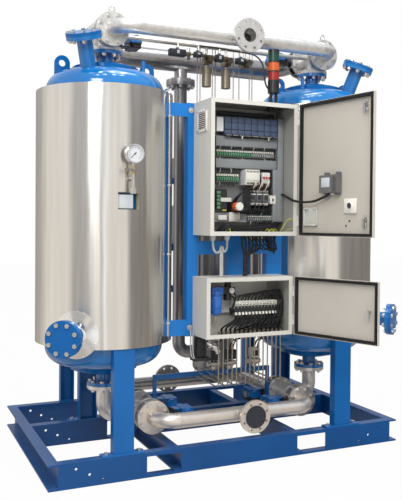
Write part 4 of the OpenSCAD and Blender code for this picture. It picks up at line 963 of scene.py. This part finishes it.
def makeDuctLids(level, upright):
    lids, combs = bmesh.new(), bmesh.new()
    y0, y1 = level["comb"]
    for (x0, z0), (x1, z1) in level["boxes"]:
        addBox(lids, (x0, level["lid"], z0), (x1, ductFront, z1), 1.5)
        for step in range(level["fingers"]):
            x = x0 + 6 + step * (x1 - x0 - 12) / (level["fingers"] - 1)
            for z in (z0 - 3.5, z1 - 1.5):
                addBox(combs, (x - 3, y0, z), (x + 3, y1, z + 5), 0)
    y0, y1 = upright["comb"]
    for (x0, z0), (x1, z1) in upright["boxes"]:
        addBox(lids, (x0, upright["lid"], z0), (x1, ductFront, z1), 1.5)
        for step in range((z1 - z0) // upright["pitch"]):
            z = z0 + 6 + upright["pitch"] * step
            for x in (x0 + 0.4, x1 - 5.4):
                addBox(combs, (x, y0, z - 3), (x + 5, y1, z + 3), 0)
    setPiece("ductLids", lids, "frame", ductGrey)
    setPiece("ductCombs", combs, "frame", ductGrey)


makeRackFronts(rackSet)
makeDuctLids(levelDucts, uprightDucts)

terminalSet = {"front": -724, "pitch": 15, "wireR": 1.4, "rows": [
    {"x": -150, "z": 1815, "count": 26, "h": 68, "green": 16},
    {"x": -150, "z": 1664, "count": 10, "h": 80, "green": 10},
    {"x": 60, "z": 1436, "count": 12, "h": 54, "green": 0}]}


def makeTerminals(look):
    greens, ends, strips, screws = (bmesh.new() for _ in range(4))
    wires = {"black": [], "pale": []}
    front = look["front"]
    for row in look["rows"]:
        z, h = row["z"], row["h"]
        for step in range(row["count"]):
            x = row["x"] + look["pitch"] * step
            half = x + 6.5
            block = greens if step < row["green"] else ends
            addBox(block, (x + 2.5, front - 14, z + 0.22 * h), (x + 10.5, front, z + 0.5 * h), 1.2)
            addBox(strips, (x + 1.5, front - 7, z + 0.56 * h), (x + 11.5, front, z + 0.72 * h), 0.8)
            for level in (0.63, 0.16):
                addRod(screws, (half, front + 1.5, z + level * h), (half, front - 8, z + level * h), 2.4, 8)
            lean = 3 * math.sin(step * 1.7)
            kind = wires["pale" if step % 5 == 1 else "black"]
            kind.append([(half, front + 2, z + 0.8 * h), (half, front - 14, z + 0.86 * h),
                         (half + lean, front - 18, z + h), (half + lean, front - 4, z + h + 12)])
            if step % 2:
                kind.append([(half, front + 2, z + 0.14 * h), (half, front - 14, z + 0.1 * h),
                             (half - lean, front - 18, z - 4), (half - lean, front - 2, z - 16)])
    setPiece("terminalBlocks", greens, "frame", terminalGreen)
    setPiece("terminalEnds", ends, "frame", terminalGrey)
    setPiece("terminalStrips", strips, "frame", socketWhite)
    setPiece("terminalScrews", screws, "frame", boltZinc)
    setCable("terminalWires", wires["black"], look["wireR"], "frame", cableBlack)
    setCable("terminalWiresPale", wires["pale"], look["wireR"], "frame", socketWhite)


makeTerminals(terminalSet)

gearSet = {"supply": {"x": (27, 121), "back": -762.2, "cover": -770, "foot": -767, "slots": 9, "pitch": 9.6},
           "breakers": {"x": 150, "pitch": 18, "count": 3, "back": -743.2, "front": -750},
           "contactors": {"x": 55, "pitch": 44, "count": 3, "back": -758.3, "front": -768,
                          "screws": (1546, 1623)},
           "relays": {"x": 205, "pitch": 22, "count": 2, "back": -738.2, "front": -745},
           "block": {"back": -732.2, "front": -740, "top": (-124, 12, 6),
                     "side": (1514, 22, 5)}}  # start, pitch, count


def makeGear(look):  # power supply, breakers, contactors, relays and the block at the left
    white, dark, metal, red, green, tag, grey = (bmesh.new() for _ in range(7))
    row = look["supply"]
    (x0, x1), back, cover, foot = row["x"], row["back"], row["cover"], row["foot"]
    addBox(white, (x0, cover, 1684), (x1, back, 1750), 2.5)
    addBox(white, (x0, foot, 1660), (x1, back, 1681), 1.5)
    for step in range(row["slots"]):
        x = x0 + 6 + row["pitch"] * step
        addBox(dark, (x, cover - 0.6, 1664), (x + 5, foot + 0.5, 1676), 0.6)
        addBox(dark, (x, cover - 0.5, 1733), (x + 5, cover + 0.5, 1745), 0.3)
    row = look["breakers"]
    front, back = row["front"], row["back"]
    for step in range(row["count"]):
        x = row["x"] + row["pitch"] * step
        addBox(white, (x + 0.8, front, 1673), (x + 16.2, back, 1737), 1.4)
        addBox(red, (x + 4, front - 7, 1698), (x + 13, front + 0.5, 1712), 1.4)
    row = look["contactors"]
    front, back = row["front"], row["back"]
    for step in range(row["count"]):
        x = row["x"] + row["pitch"] * step
        addBox(grey, (x + 2, front, 1560), (x + 41, back, 1610), 2)
        addBox(dark, (x + 12, front - 6, 1572), (x + 31, front + 0.5, 1598), 1.5)
        addBox(white, (x + 4, front - 1.2, 1601), (x + 39, front + 0.5, 1607), 0.5)
        for z in row["screws"]:
            for u in (x + 9, x + 22, x + 35):
                addRod(metal, (u, back + 0.8, z), (u, front + 3, z), 4.6, 10)
                addBox(white, (u - 5, front + 7, z - 7), (u + 5, back + 1, z + 7), 0.8)
    row = look["relays"]
    front, back = row["front"], row["back"]
    for step in range(row["count"]):
        x = row["x"] + row["pitch"] * step
        addBox(white, (x + 0.8, front, 1549), (x + 20.2, back, 1599), 1.5)
    addBox(dark, (222, front - 2, 1566), (232, front + 0.5, 1580), 0.8)
    row = look["block"]
    front, back = row["front"], row["back"]
    start, pitch, count = row["top"]
    for step in range(count):
        x = start + pitch * step
        addBox(white, (x, front, 1556), (x + 10, back, 1580), 1)
    start, pitch, count = row["side"]
    for step in range(count):
        z = start + pitch * step
        addBox(green, (-149, front, z), (-126, back, z + 16), 1.2)
    addBox(tag, (-112, front + 4, 1502), (-84, back, 1509), 0.8)
    addBox(white, (-142, -745, 1448), (-86, -742.3, 1476), 0.8)  # plates at the block's foot
    addBox(metal, (-74, -747, 1438), (0, -742.3, 1494), 1.2)
    setPiece("gearBodies", grey, "frame", panelDark)
    setPiece("gearWhite", white, "frame", socketWhite)
    setPiece("gearDark", dark, "frame", gearGrey)
    setPiece("gearScrews", metal, "frame", boltZinc)
    setPiece("gearToggles", red, "frame", tipRed)
    setPiece("gearTerminals", green, "frame", terminalGreen)
    setPiece("gearTag", tag, "frame", tagYellow)


makeGear(gearSet)

knobSet = {"spot": (-21, -742.5, 1528), "flutes": 10}


def makeSwitchKnob(look):  # orange collar and a white grip, in place of the plain knob
    collar, grip = bmesh.new(), bmesh.new()
    out = (0, -1, 0)
    addSpin(collar, [(0.01, 0.3), (29, 0.3), (29, 5), (25, 12), (23, 24), (0.01, 24)], look["spot"], out, 40)
    addSpin(grip, [(0.01, 24.4), (23, 24.4), (23.5, 27), (23.5, 42), (21, 45), (0.01, 45)], look["spot"],
            out, 40)
    x, y, z = look["spot"]
    for step in range(look["flutes"]):
        turn = 2 * math.pi * step / look["flutes"]
        u, w = x + 22.6 * math.cos(turn), z + 22.6 * math.sin(turn)
        addRod(grip, (u, y - 26, w), (u, y - 43, w), 3.4, 10)
    addBox(grip, (x - 3, y - 47, z - 17), (x + 3, y - 44.5, z + 17), 1)
    knob = setPiece("switchCollar", collar, "switch_knob", knobOrange)
    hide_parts("switch_knob")
    setPiece("switchGrip", grip, "switch_knob", socketWhite)


makeSwitchKnob(knobSet)


contactSet = {"body": ((172, -790, 2108), (204, -750, 2134)), "arm": ((192, -772, 2120), (236, -782, 2094)),
              "head": ((228, -792, 2082), (250, -770, 2102))}


def makeRoofContact(look):  # black door contact under the roof
    bm = bmesh.new()
    addBox(bm, *look["body"], 3)
    addRod(bm, *look["arm"], 8, 14)
    addBox(bm, *look["head"], 3)
    setPiece("roofContact", bm, "frame", cableBlack)


makeRoofContact(contactSet)


wireSet = {"loopR": 3.2, "colouredR": 3.0, "harnessR": 7, "earthR": 2.4,
           "ties": (-60, 0, 60, 120, 180)}


def makeCabinetWires(look):
    loops, bands, brown, pale = [], [], [], []
    for step in range(9):  # short loops over the contactors
        x = 60 + 14 * step
        rise = 34 + 8 * math.sin(step * 2.1)
        run = [(x, -764, 1628), (x - 2, -786, 1640), (x + 4, -796, 1632 + rise), (x + 12, -792, 1634 + rise),
               (x + 18, -780, 1645), (x + 16, -764, 1630)]
        (brown, pale, loops)[step % 3].append(run)
    for step in range(4):  # from the main switch up and over to the contactors
        s = 7 * step
        loops.append([(-46 + s, -744, 1556), (-50 + s, -770, 1578), (-26 + s, -800, 1604 + 0.8 * s),
                      (20 + 0.6 * s, -802, 1622 + 0.5 * s), (50 + s, -784, 1640), (58 + s, -764, 1626)])
    for step in range(4):  # below the contactors
        s = 30 * step
        loops.append([(58 + s, -762, 1546), (56 + s, -786, 1528), (40 + 0.9 * s, -792, 1508),
                      (44 + 0.9 * s, -786, 1492), (52 + s, -730, 1486)])
    for step in range(3):  # from the switch down behind its knob
        s = 9 * step
        loops.append([(-40 + s, -744, 1500), (-34 + s, -776, 1490), (10 + s, -788, 1500),
                      (34 + s, -784, 1540), (40 + s, -770, 1580), (60 + s, -764, 1622)])
    for step in range(22):  # drops between the ducts and the devices at the right
        x = 132 + 4.4 * step
        loops.append([(x, -700 - 9 * (step % 3), 1762), (x + 2, -716 - 8 * (step % 3), 1730),
                      (x + 5 * math.sin(step), -722 - 6 * (step % 3), 1690),
                      (x - 3, -720 - 7 * (step % 2), 1650), (x + 4 * math.cos(step * 2), -706, 1612)])
        x = 16 + 9.6 * step
        loops.append([(x, -712, 1534), (x + 3, -734 - 6 * (step % 3), 1520),
                      (x + 6 * math.sin(step * 1.3), -740, 1504), (x - 2, -726, 1486)])
    for step in range(9):  # harness from the duct's foot along the cabinet floor
        y, z = -724 - 13 * (step % 4), 1382 + 12 * (step // 4) + 5 * (step % 2)
        bands.append([(266 + 4 * step, -722, 1452), (268 + 3 * step, -734, 1430), (232 + 2 * step, y, z + 34),
                      (176, y - 12, z + 16), (70 + 6 * step, y - 26, z + 2), (-20, y - 30, z + 2),
                      (-80, y - 30, z + 20), (-118 + 3 * step, y - 24, z + 22),
                      (-142 + 3 * step, y - 10, z + 6), (-150 + 6 * step, y + 10, 1361)])
    for step in range(5):  # cables along the head and the foot of the control modules
        z = 1948 + 5 * (step % 3)
        bands.append([(-104, -716, z), (-40, -736 - 3 * step, z - 6 + 2 * step), (40, -738, z - 3 * step),
                      (120, -734, z + 4), (200, -738, z - 6), (256, -720, z - 2)])
        bands.append([(-130, -700, 2078 + 3 * step), (-20, -712, 2082 + 2 * step),
                      (110, -708, 2078 + 3 * step), (250, -704, 2082 + 2 * step)])
    setCable("cabinetWires", loops, look["loopR"], "frame", cableBlack)
    setCable("cabinetHarness", bands, look["harnessR"], "frame", cableBlack)
    setCable("cabinetWiresBrown", brown, look["colouredR"], "frame", wireBrown)
    setCable("cabinetWiresPale", pale, look["colouredR"], "frame", socketWhite)
    earth = [[(150 + 30 * step, -760, 1362), (160 + 30 * step, -776, 1392), (178 + 28 * step, -780, 1400),
              (190 + 28 * step, -770, 1380), (186 + 30 * step, -760, 1362)] for step in range(3)]
    earth.append([(-96, -772, 1392), (-90, -786, 1408), (-80, -790, 1390), (-84, -786, 1366)])
    earth.append([(232, -800, 1362), (240, -836, 1400), (252, -862, 1446), (272, -876, 1464),
                  (290, -884, 1450), (302, -886, 1412)])
    earth.append([(246, -790, 1362), (262, -846, 1384), (284, -872, 1410), (302, -884, 1400)])
    setCable("earthWires", earth, look["earthR"], "frame", earthStripe)
    ties = bmesh.new()
    for x in look["ties"]:
        addBox(ties, (x, -766, 1366), (x + 4, -710, 1392), 1)
    setPiece("harnessTies", ties, "frame", gearGrey)


makeCabinetWires(wireSet)
print("upper cabinet fitted out")


# upper door: pieces are laid out on the closed door, then turned to where it stands open

doorSet = {"hinge": (313, -894, 0), "turn": 101, "skin": -15.8, "socket": (-407, -2, 1530),
           "ribs": (1614, 9.6, 9),
           "latches": (2073, 1452)}  # ribs: start, pitch and count


def makeDoorFittings(look):
    white, hole, pocket, ribs, face, strap = (bmesh.new() for _ in range(6))
    skin, socket = look["skin"], look["socket"]
    addBox(white, (-452, skin, 1488), (-362, -5, 1570), 4)
    addBox(white, (-444, -5.2, 1496), (-370, -2, 1562), 3)
    addSpin(white, [(17, -0.2), (23, -0.2), (23, 3), (21, 5), (17, 5)], socket, (0, 1, 0), 32)
    addSpin(hole, [(0.01, 0.2), (16.8, 0.2), (16.8, 1.6), (0.01, 1.6)], socket, (0, 1, 0), 28)
    for x in (socket[0] - 6, socket[0] + 6):
        addRod(hole, (x, -1, socket[2]), (x, 1.2, socket[2]), 3, 8)
    addBox(pocket, (-148, skin, 1422), (-48, -12.5, 1518), 2)
    for low, high in (((-153, 1417), (-145, 1523)), ((-51, 1417), (-43, 1523)), ((-153, 1417), (-43, 1426)),
                      ((-153, 1512), (-120, 1523)), ((-76, 1512), (-43, 1523))):
        addBox(pocket, (low[0], skin, low[1]), (high[0], -2, high[1]), 2)
    start, pitch, count = look["ribs"]
    for step in range(count):
        z = start + pitch * step
        addBox(ribs, (-332, 26.2, z), (-306, 31, z + 5), 1)
    addBox(ribs, (-334, skin, 1602), (-298, 26.5, 1708), 3)
    for x in (-238, -326):
        addBox(ribs, (x - 9, skin, 1704), (x + 9, 16, 1722), 3)
        addBox(ribs, (x - 7, skin, 1592), (x + 7, 12, 1606), 3)
    addBox(face, (-282, 26.2, 1636), (-218, 28.4, 1690), 1)
    addBox(strap, (-300, -10, 1594), (-226, 8, 1604), 2)
    for z in look["latches"]:
        addBox(strap, (-524, skin, z - 44), (-506, -12, z - 14), 1)
        addBox(strap, (-522, skin, z + 14), (-508, -9, z + 30), 1.5)
    for x, z in ((-398, 1446), (-372, 1420)):
        addRod(hole, (x, skin - 0.4, z), (x, -12, z), 5, 12)
    standing = Matrix.Translation(mm(*look["hinge"])) @ Matrix.Rotation(math.radians(look["turn"]), 4, "Z")
    setPiece("doorSocket", white, "upper_door", socketWhite, standing)
    setPiece("doorSocketHoles", hole, "upper_door", gearGrey, standing)
    setPiece("doorPocket", pocket, "upper_door", pocketGrey, standing)
    setPiece("panelRibs", ribs, "upper_door", panelDark, standing)
    setPiece("panelFace", face, "upper_door", plateWhite, standing)
    setPiece("doorClips", strap, "upper_door", boltZinc, standing)


makeDoorFittings(doorSet)


# under the upper cabinet: glands, grey conduit loops and black bundles

glandSet = {"y": -770, "roof": 1356.8, "black": [2 + 25 * n for n in range(10)], "grey": (-188, -96)}


def makeGlands(look):
    dark, pale = bmesh.new(), bmesh.new()
    for x in look["black"]:
        spot = (x, look["y"], look["roof"])
        addRod(dark, (x, look["y"], look["roof"] - 0.2), (x, look["y"], look["roof"] - 7), 10.5, 6)
        addSpin(dark, [(3, 6.5), (9.5, 6.5), (9.5, 16), (6, 23), (3, 23)], spot, (0, 0, -1), 20)
    for x in look["grey"]:
        spot = (x, look["y"], look["roof"])
        addRod(pale, (x, look["y"], look["roof"] - 0.2), (x, look["y"], look["roof"] - 9), 17, 6)
        addSpin(pale, [(6, 8.5), (15, 8.5), (15, 20), (10, 30), (6, 30)], spot, (0, 0, -1), 24)
    setPiece("cableGlands", dark, "frame", cableBlack)
    setPiece("conduitGlands", pale, "frame", conduitGrey)


def makeUnderCables(look):
    y = look["y"]
    pale = [[(-188, y, 1334), (-190, y, 1296), (-178, y, 1258), (-152, y, 1252), (-138, y - 4, 1276),
             (-136, y, 1300), (-134, y + 6, 1260), (-133, y + 6, 1200), (-133, y + 6, 1116)],
            [(-96, y, 1334), (-94, y, 1300), (-100, y, 1268), (-116, y, 1258), (-126, y - 6, 1274),
             (-128, y - 2, 1300), (-124, y + 8, 1262), (-123, y + 8, 1200), (-123, y + 8, 1116)]]
    setCable("greyConduits", pale, 7, "frame", conduitGrey)
    black, thin = [], []
    for step in range(6):
        x = look["black"][step]
        u, w = 22 + 7 * (step % 3), y + 8 * (step // 3)
        black.append([(x, y, 1338), (x, y - 2, 1312), (x + 4, y - 4, 1280 - 3 * step), (u, w, 1248),
                      (u, w, 1200), (u, w, 1116)])
    for step in range(6, 10):
        x = look["black"][step]
        d = 9 * (step - 6)
        thin.append([(x, y, 1338), (x + 1, y - 4, 1312), (x - 4 + 3 * (step % 2), y - 8, 1290 - d),
                     (x - 26 + d, y - 4, 1268 - d / 2), (x - 46, y + 16, 1284), (x - 58, y + 40, 1316),
                     (x - 66, y + 70, 1356)])
    for step in range(4):
        x = 168 + 18 * step
        d = 12 * (step % 3)
        thin.append([(x, y + 10, 1342), (x + 3, y, 1300), (x + 12, y - 6, 1272 - d), (x + 22, y, 1262 - d),
                     (x + 26, y + 14, 1296), (x + 14, y + 26, 1342)])
    setCable("blackBundle", black, 6.5, "frame", cableBlack)
    setCable("blackLoops", thin, 3.6, "frame", cableBlack)
    band = bmesh.new()
    for z in (1130, 1180, 1230):
        addBox(band, (13, y - 9, z), (44, y + 17, z + 5), 2)
    setPiece("bundleTies", band, "frame", gearGrey)


makeGlands(glandSet)
makeUnderCables(glandSet)
print("door fittings and cables made")


# lower cabinet: solenoid fronts, fittings and black hoses

islandSet = {"x": -35, "pitch": 23, "count": 14, "front": -758.7, "z": 919}
bulkSet = {"x": -140, "pitch": 30, "y": -760}
hoseSet = {"lowerR": 4.6, "upperR": 4.8, "feedR": 5, "outerTurns": 12}


def makeIsland(look):
    coil, tip, fit, dark = (bmesh.new() for _ in range(4))
    front, z = look["front"], look["z"]
    for step in range(look["count"]):
        x = look["x"] + look["pitch"] * step
        addBox(coil, (x + 1, front - 5, z + 17), (x + 20, front, z + 43), 2)
        addBox(dark, (x + 2.5, front - 3, z + 2), (x + 18.5, front + 6, z + 15), 1.2)
        addBox(tip, (x + 6, front - 7, z + 21), (x + 15, front - 4.5, z + 27), 0.8)
        addRod(tip, (x + 10.5, front - 6, z + 36), (x + 10.5, front - 3, z + 36), 3, 8)
        addSpin(fit, [(2.5, 0), (7, 0), (7.6, 3), (7.6, 12), (6, 17), (2.5, 17)], (x + 10.5, -752, z - 24.4),
                (0, -0.55, -1), 16)
    setPiece("solenoidCoils", coil, "frame", coilIvory)
    setPiece("solenoidFeet", dark, "frame", gearGrey)
    setPiece("solenoidTips", tip, "frame", gearGrey)
    setPiece("pushFittings", fit, "frame", socketWhite)


def makeHoses(look, bulk, hose):
    lower, upper = [], []
    for step in range(look["count"]):
        xs = look["x"] + look["pitch"] * step + 10.5
        xb = bulk["x"] + bulk["pitch"] * (step + 0.4)
        sag = 6 * math.sin(step * 1.9)
        lower.append([(xs, -758, 884), (xs - 1, -774, 864), (xs - 12, -792 + sag, 850),
                      (0.5 * xs + 0.5 * xb - 8, -800 + sag, 838), (xb - 4, -792, 818), (xb, -768, 806),
                      (xb, bulk["y"], 790)])
        xs, xb = xs + 8, xb + 12
        lower.append([(xs, -740, 890), (xs - 2, -752, 868), (xs - 16, -764 - sag, 852),
                      (0.4 * xs + 0.6 * xb - 10, -772, 834 + sag), (xb - 6, -768, 812), (xb, -750, 800),
                      (xb + 3, -740, 768)])
    for step in range(look["count"]):
        xs = look["x"] + look["pitch"] * step + 10.5
        top = 996 + 1.6 * step + 3 * math.sin(step * 2.3)
        y = -742 - 3 * (step % 4)
        run = [(xs, -735, 962), (xs - 4, y, 980), (xs + 6, y - 8, top), (0.6 * xs + 112, y - 10, top + 12)]
        run += [(262, y - 12, top + 14 - step), (296 - step % 3 * 5, y - 10, 985 - step),
                (299 - step % 4 * 5, y - 14, 930), (292 - step % 4 * 6, y - 22, 870),
                (262 - 5 * step, y - 26, 826 - step), (240 - 9 * step, -770, 800)]
        upper.append(run)
    for step in range(hose["outerTurns"]):  # outside the bundle, down the right wall and along the floor
        y = -700 - 12 * (step % 5)
        x = 286 - 7 * (step // 2)
        upper.append([(x - 90, y, 1012), (x - 40, y - 14, 1022 - 2 * step), (x - 6, y - 22, 990),
                      (x, y - 24, 930), (x - 4, y - 22, 868), (x - 40 - 6 * step, y - 30, 822 - step),
                      (x - 110 - 10 * step, y - 20, 800), (x - 150 - 14 * step, y - 6, 768)])
    setCable("lowerHoses", lower, hose["lowerR"], "frame", cableBlack)
    setCable("upperHoses", upper, hose["upperR"], "frame", cableBlack)
    feed = [[(-34, -726, 990), (-30, -756, 972), (-52, -776, 930), (-70, -770, 900), (-62, -750, 886),
             (-36, -730, 890)],
            [(-40, -740, 1012), (-20, -770, 1000), (-60, -786, 950), (-78, -780, 906), (-60, -760, 896),
             (-36, -740, 905)]]
    setCable("feedHoses", feed, hose["feedR"], "frame", cableBlack)


filterSet = {"x": -148, "y": -730, "ribs": 8, "ribR": 35.5, "gauge": (-62, -760, 1030), "marks": 11}


def makeFilterDress(look):  # bowl and collar of the filter, small gauge on the regulator
    bowl, drain, rim, face, marks = (bmesh.new() for _ in range(5))
    x, y = look["x"], look["y"]
    for profile in ([(30, 1008), (36.5, 1008), (38, 1012), (38, 1026), (36, 1030), (30, 1030)],
                    [(34.2, 930), (36, 932), (36, 990), (34.2, 994)],
                    [(0.01, 878), (14, 880), (26, 888), (33, 900), (35, 914), (0.01, 914)]):
        addSpin(bowl, profile, (x, y, 0), (0, 0, 1), 40)
    for step in range(look["ribs"]):
        turn = 2 * math.pi * step / look["ribs"]
        u, v = x + look["ribR"] * math.cos(turn), y + look["ribR"] * math.sin(turn)
        addRod(bowl, (u, v, 912), (u, v, 1004), 1.8, 8)
    addRod(drain, (x, y, 880), (x, y, 864), 7, 12, 4)
    addRod(drain, (x, y, 865), (x, y, 850), 3, 10)
    x, y, z = look["gauge"]
    addSpin(rim, [(0.01, 0.4), (17, 0.4), (18.5, 2), (18.5, 13), (17, 15), (15.5, 15), (15.5, 12),
                  (0.01, 12)],
            look["gauge"], (0, -1, 0), 32)
    addSpin(face, [(0.01, 11.6), (15.2, 11.6), (15.2, 12.6), (0.01, 12.8)], look["gauge"], (0, -1, 0), 32)
    for step in range(look["marks"]):
        turn = math.radians(225 - 27 * step)
        u, w = math.cos(turn), math.sin(turn)
        addRod(marks, (x + 11 * u, y - 12.9, z + 11 * w), (x + 13.6 * u, y - 12.9, z + 13.6 * w), 0.45, 6)
    addRod(marks, (x + 2, y - 13.4, z - 3.5), (x - 5, y - 13.4, z + 8.5), 0.7, 6)
    addRod(marks, (x, y - 12.2, z), (x, y - 14, z), 1.8, 10)
    setPiece("regulatorDial", face, "frame", dialWhite)
    setPiece("regulatorMarks", marks, "frame", coverBlack)
    setPiece("filterBowl", bowl, "frame", bowlBlue)
    setPiece("filterDrain", drain, "frame", boltZinc)
    setPiece("regulatorGauge", rim, "frame", polishedSteel)


makeIsland(islandSet)
makeHoses(islandSet, bulkSet, hoseSet)
makeFilterDress(filterSet)
print("lower cabinet fitted out")


# solenoid coils on the pilot valves between the tower tops, with their fittings

coilSet = {"y": (-446, -402), "pipeZ": 2546, "coils": [
    {"x": (-336, -226), "z": (2462, 2506)}, {"x": (-168, -114), "z": (2470, 2504)},
    {"x": (-20, 36), "z": (2456, 2500)}, {"x": (128, 200), "z": (2456, 2494)}]}


def makePilotCoils(look):
    black, metal, tags = (bmesh.new() for _ in range(3))
    y0, y1 = look["y"]
    y = (y0 + y1) / 2
    for coil in look["coils"]:
        (x0, x1), (z0, z1) = coil["x"], coil["z"]
        x = (x0 + x1) / 2
        addBox(black, (x0, y0, z0), (x1, y1, z1), 7, 3)
        addRod(black, (x, y, z1 - 3), (x, y, z1 + 9), 11, 6)
        addRod(metal, (x + 8, y + 8, z1 + 2), (x + 16, y + 26, look["pipeZ"]), 7, 12)
        addBox(metal, (x1 - 4, y - 14, z0 + 8), (x1 + 34, y + 14, z1 - 8), 3)
        addRod(metal, (x1 + 22, y, z0 - 12), (x1 + 22, y, z1 + 14), 9, 6)
        addRod(metal, (x1 + 30, y, z0 + 18), (x1 + 58, y + 4, z0 + 26), 6, 10)
        addBox(tags, (x - 9, y0 - 1.2, z0 + 14), (x + 9, y0 + 0.4, z1 - 10), 0.8)
    setPiece("pilotCoils", black, "frame", coverBlack)
    setPiece("pilotBodies", metal, "frame", manifoldMetal)
    setPiece("pilotTags", tags, "frame", conduitGrey)


makePilotCoils(coilSet)


# purge valve under the left post, with its fittings

purgeSet = {"x": (-246, -190), "y": (-690, -640), "z": (630, 752), "fins": 8, "finPitch": 13,
            "drop": ((-166, -670, 761.5), (-166, -670, 700)), "tubeR": 4,
            "knuckles": ((-166, -690, 706), (-138, -700, 690), (-122, -706, 668))}


def makePurgeValve(look):
    grey, dark, metal = (bmesh.new() for _ in range(3))
    (x0, x1), (y0, y1), (z0, z1) = look["x"], look["y"], look["z"]
    addBox(grey, (x0, y0, z0), (x1, y1, z1), 4)
    for step in range(look["fins"]):
        z = z0 + 10 + look["finPitch"] * step
        addBox(grey, (x0 - 4, y0 - 4, z), (x1 + 4, y1 + 4, z + 6), 1.5)
    addBox(dark, (x0 - 24, y0 - 14, z0 - 20), (x1 + 26, y1 + 8, z0 - 2), 3)
    addRod(metal, *look["drop"], 9, 16)
    for spot in look["knuckles"]:
        addSpin(metal, [(0.01, -18), (14, -18), (17, -12), (17, 12), (14, 18), (0.01, 18)], spot,
                (1, -0.4, -0.7), 20)
        addRod(metal, (spot[0], spot[1], spot[2] - 20), (spot[0], spot[1], spot[2] + 20), 11, 6)
    runs = [[(x, y0, 800), (x, y0, 700), (x, y0, 640), (x + 16, y0, 622), (-228, y0, 620)]
            for x in (-290, -276)]
    setPiece("purgeBody", grey, "frame", ironBlack)
    setPiece("purgePlate", dark, "frame", ironBlack)
    setPiece("purgeFittings", metal, "frame", polishedSteel)
    setCable("purgeTubes", runs, look["tubeR"], "frame", polishedSteel)


# drain valves on the tube rack's top bar, wired to the lower cabinet

rackValveSet = {"y": -390, "barTop": 478.5, "wireR": 5, "valves": [
    {"x": 4, "half": 24, "pale": False}, {"x": 118, "half": 40, "pale": False},
    {"x": 300, "half": 30, "pale": True}]}


def makeRackValves(look):
    black, pale, metal = (bmesh.new() for _ in range(3))
    wires, y = [], look["y"]
    for valve in look["valves"]:
        x, half = valve["x"], valve["half"]
        coil = pale if valve["pale"] else black
        addBox(metal, (x - 14, y - 13, look["barTop"]), (x + 14, y + 13, 502), 2)
        addSpin(metal, [(0.01, -44), (15, -44), (15, -30), (22, -25), (22, 25), (15, 30), (15, 44),
                        (0.01, 44)],
                (x, y, 519), (1, 0, 0), 20)
        addRod(metal, (x, y, 502), (x, y, 548), 11, 6)
        addBox(coil, (x - half, y - 28, 544), (x + half, y + 28, 606), 6, 3)
        addBox(black, (x - half + 8, y - 34, 556), (x + half - 8, y - 26, 592), 3)
        addRod(metal, (x, y, 604), (x, y, 614), 9, 6)
        for side in (-1, 1):
            u = x - 60 + 10 * side
            wires.append([(x + 10 * side, y - 24, 604), (x + 12 * side, y - 30, 640),
                          (x - 20 + 8 * side, -500, 690), (x - 50 + 9 * side, -620, 712), (u, -664, 736),
                          (u, -668, 763)])
    setPiece("drainCoils", black, "frame", coverBlack)
    setPiece("paleCoil", pale, "frame", coilIvory)
    setPiece("drainBodies", metal, "frame", manifoldMetal)
    setCable("drainWires", wires, look["wireR"], "frame", cableBlack)


makePurgeValve(purgeSet)
makeRackValves(rackValveSet)
print("pilot, purge and drain valves made")
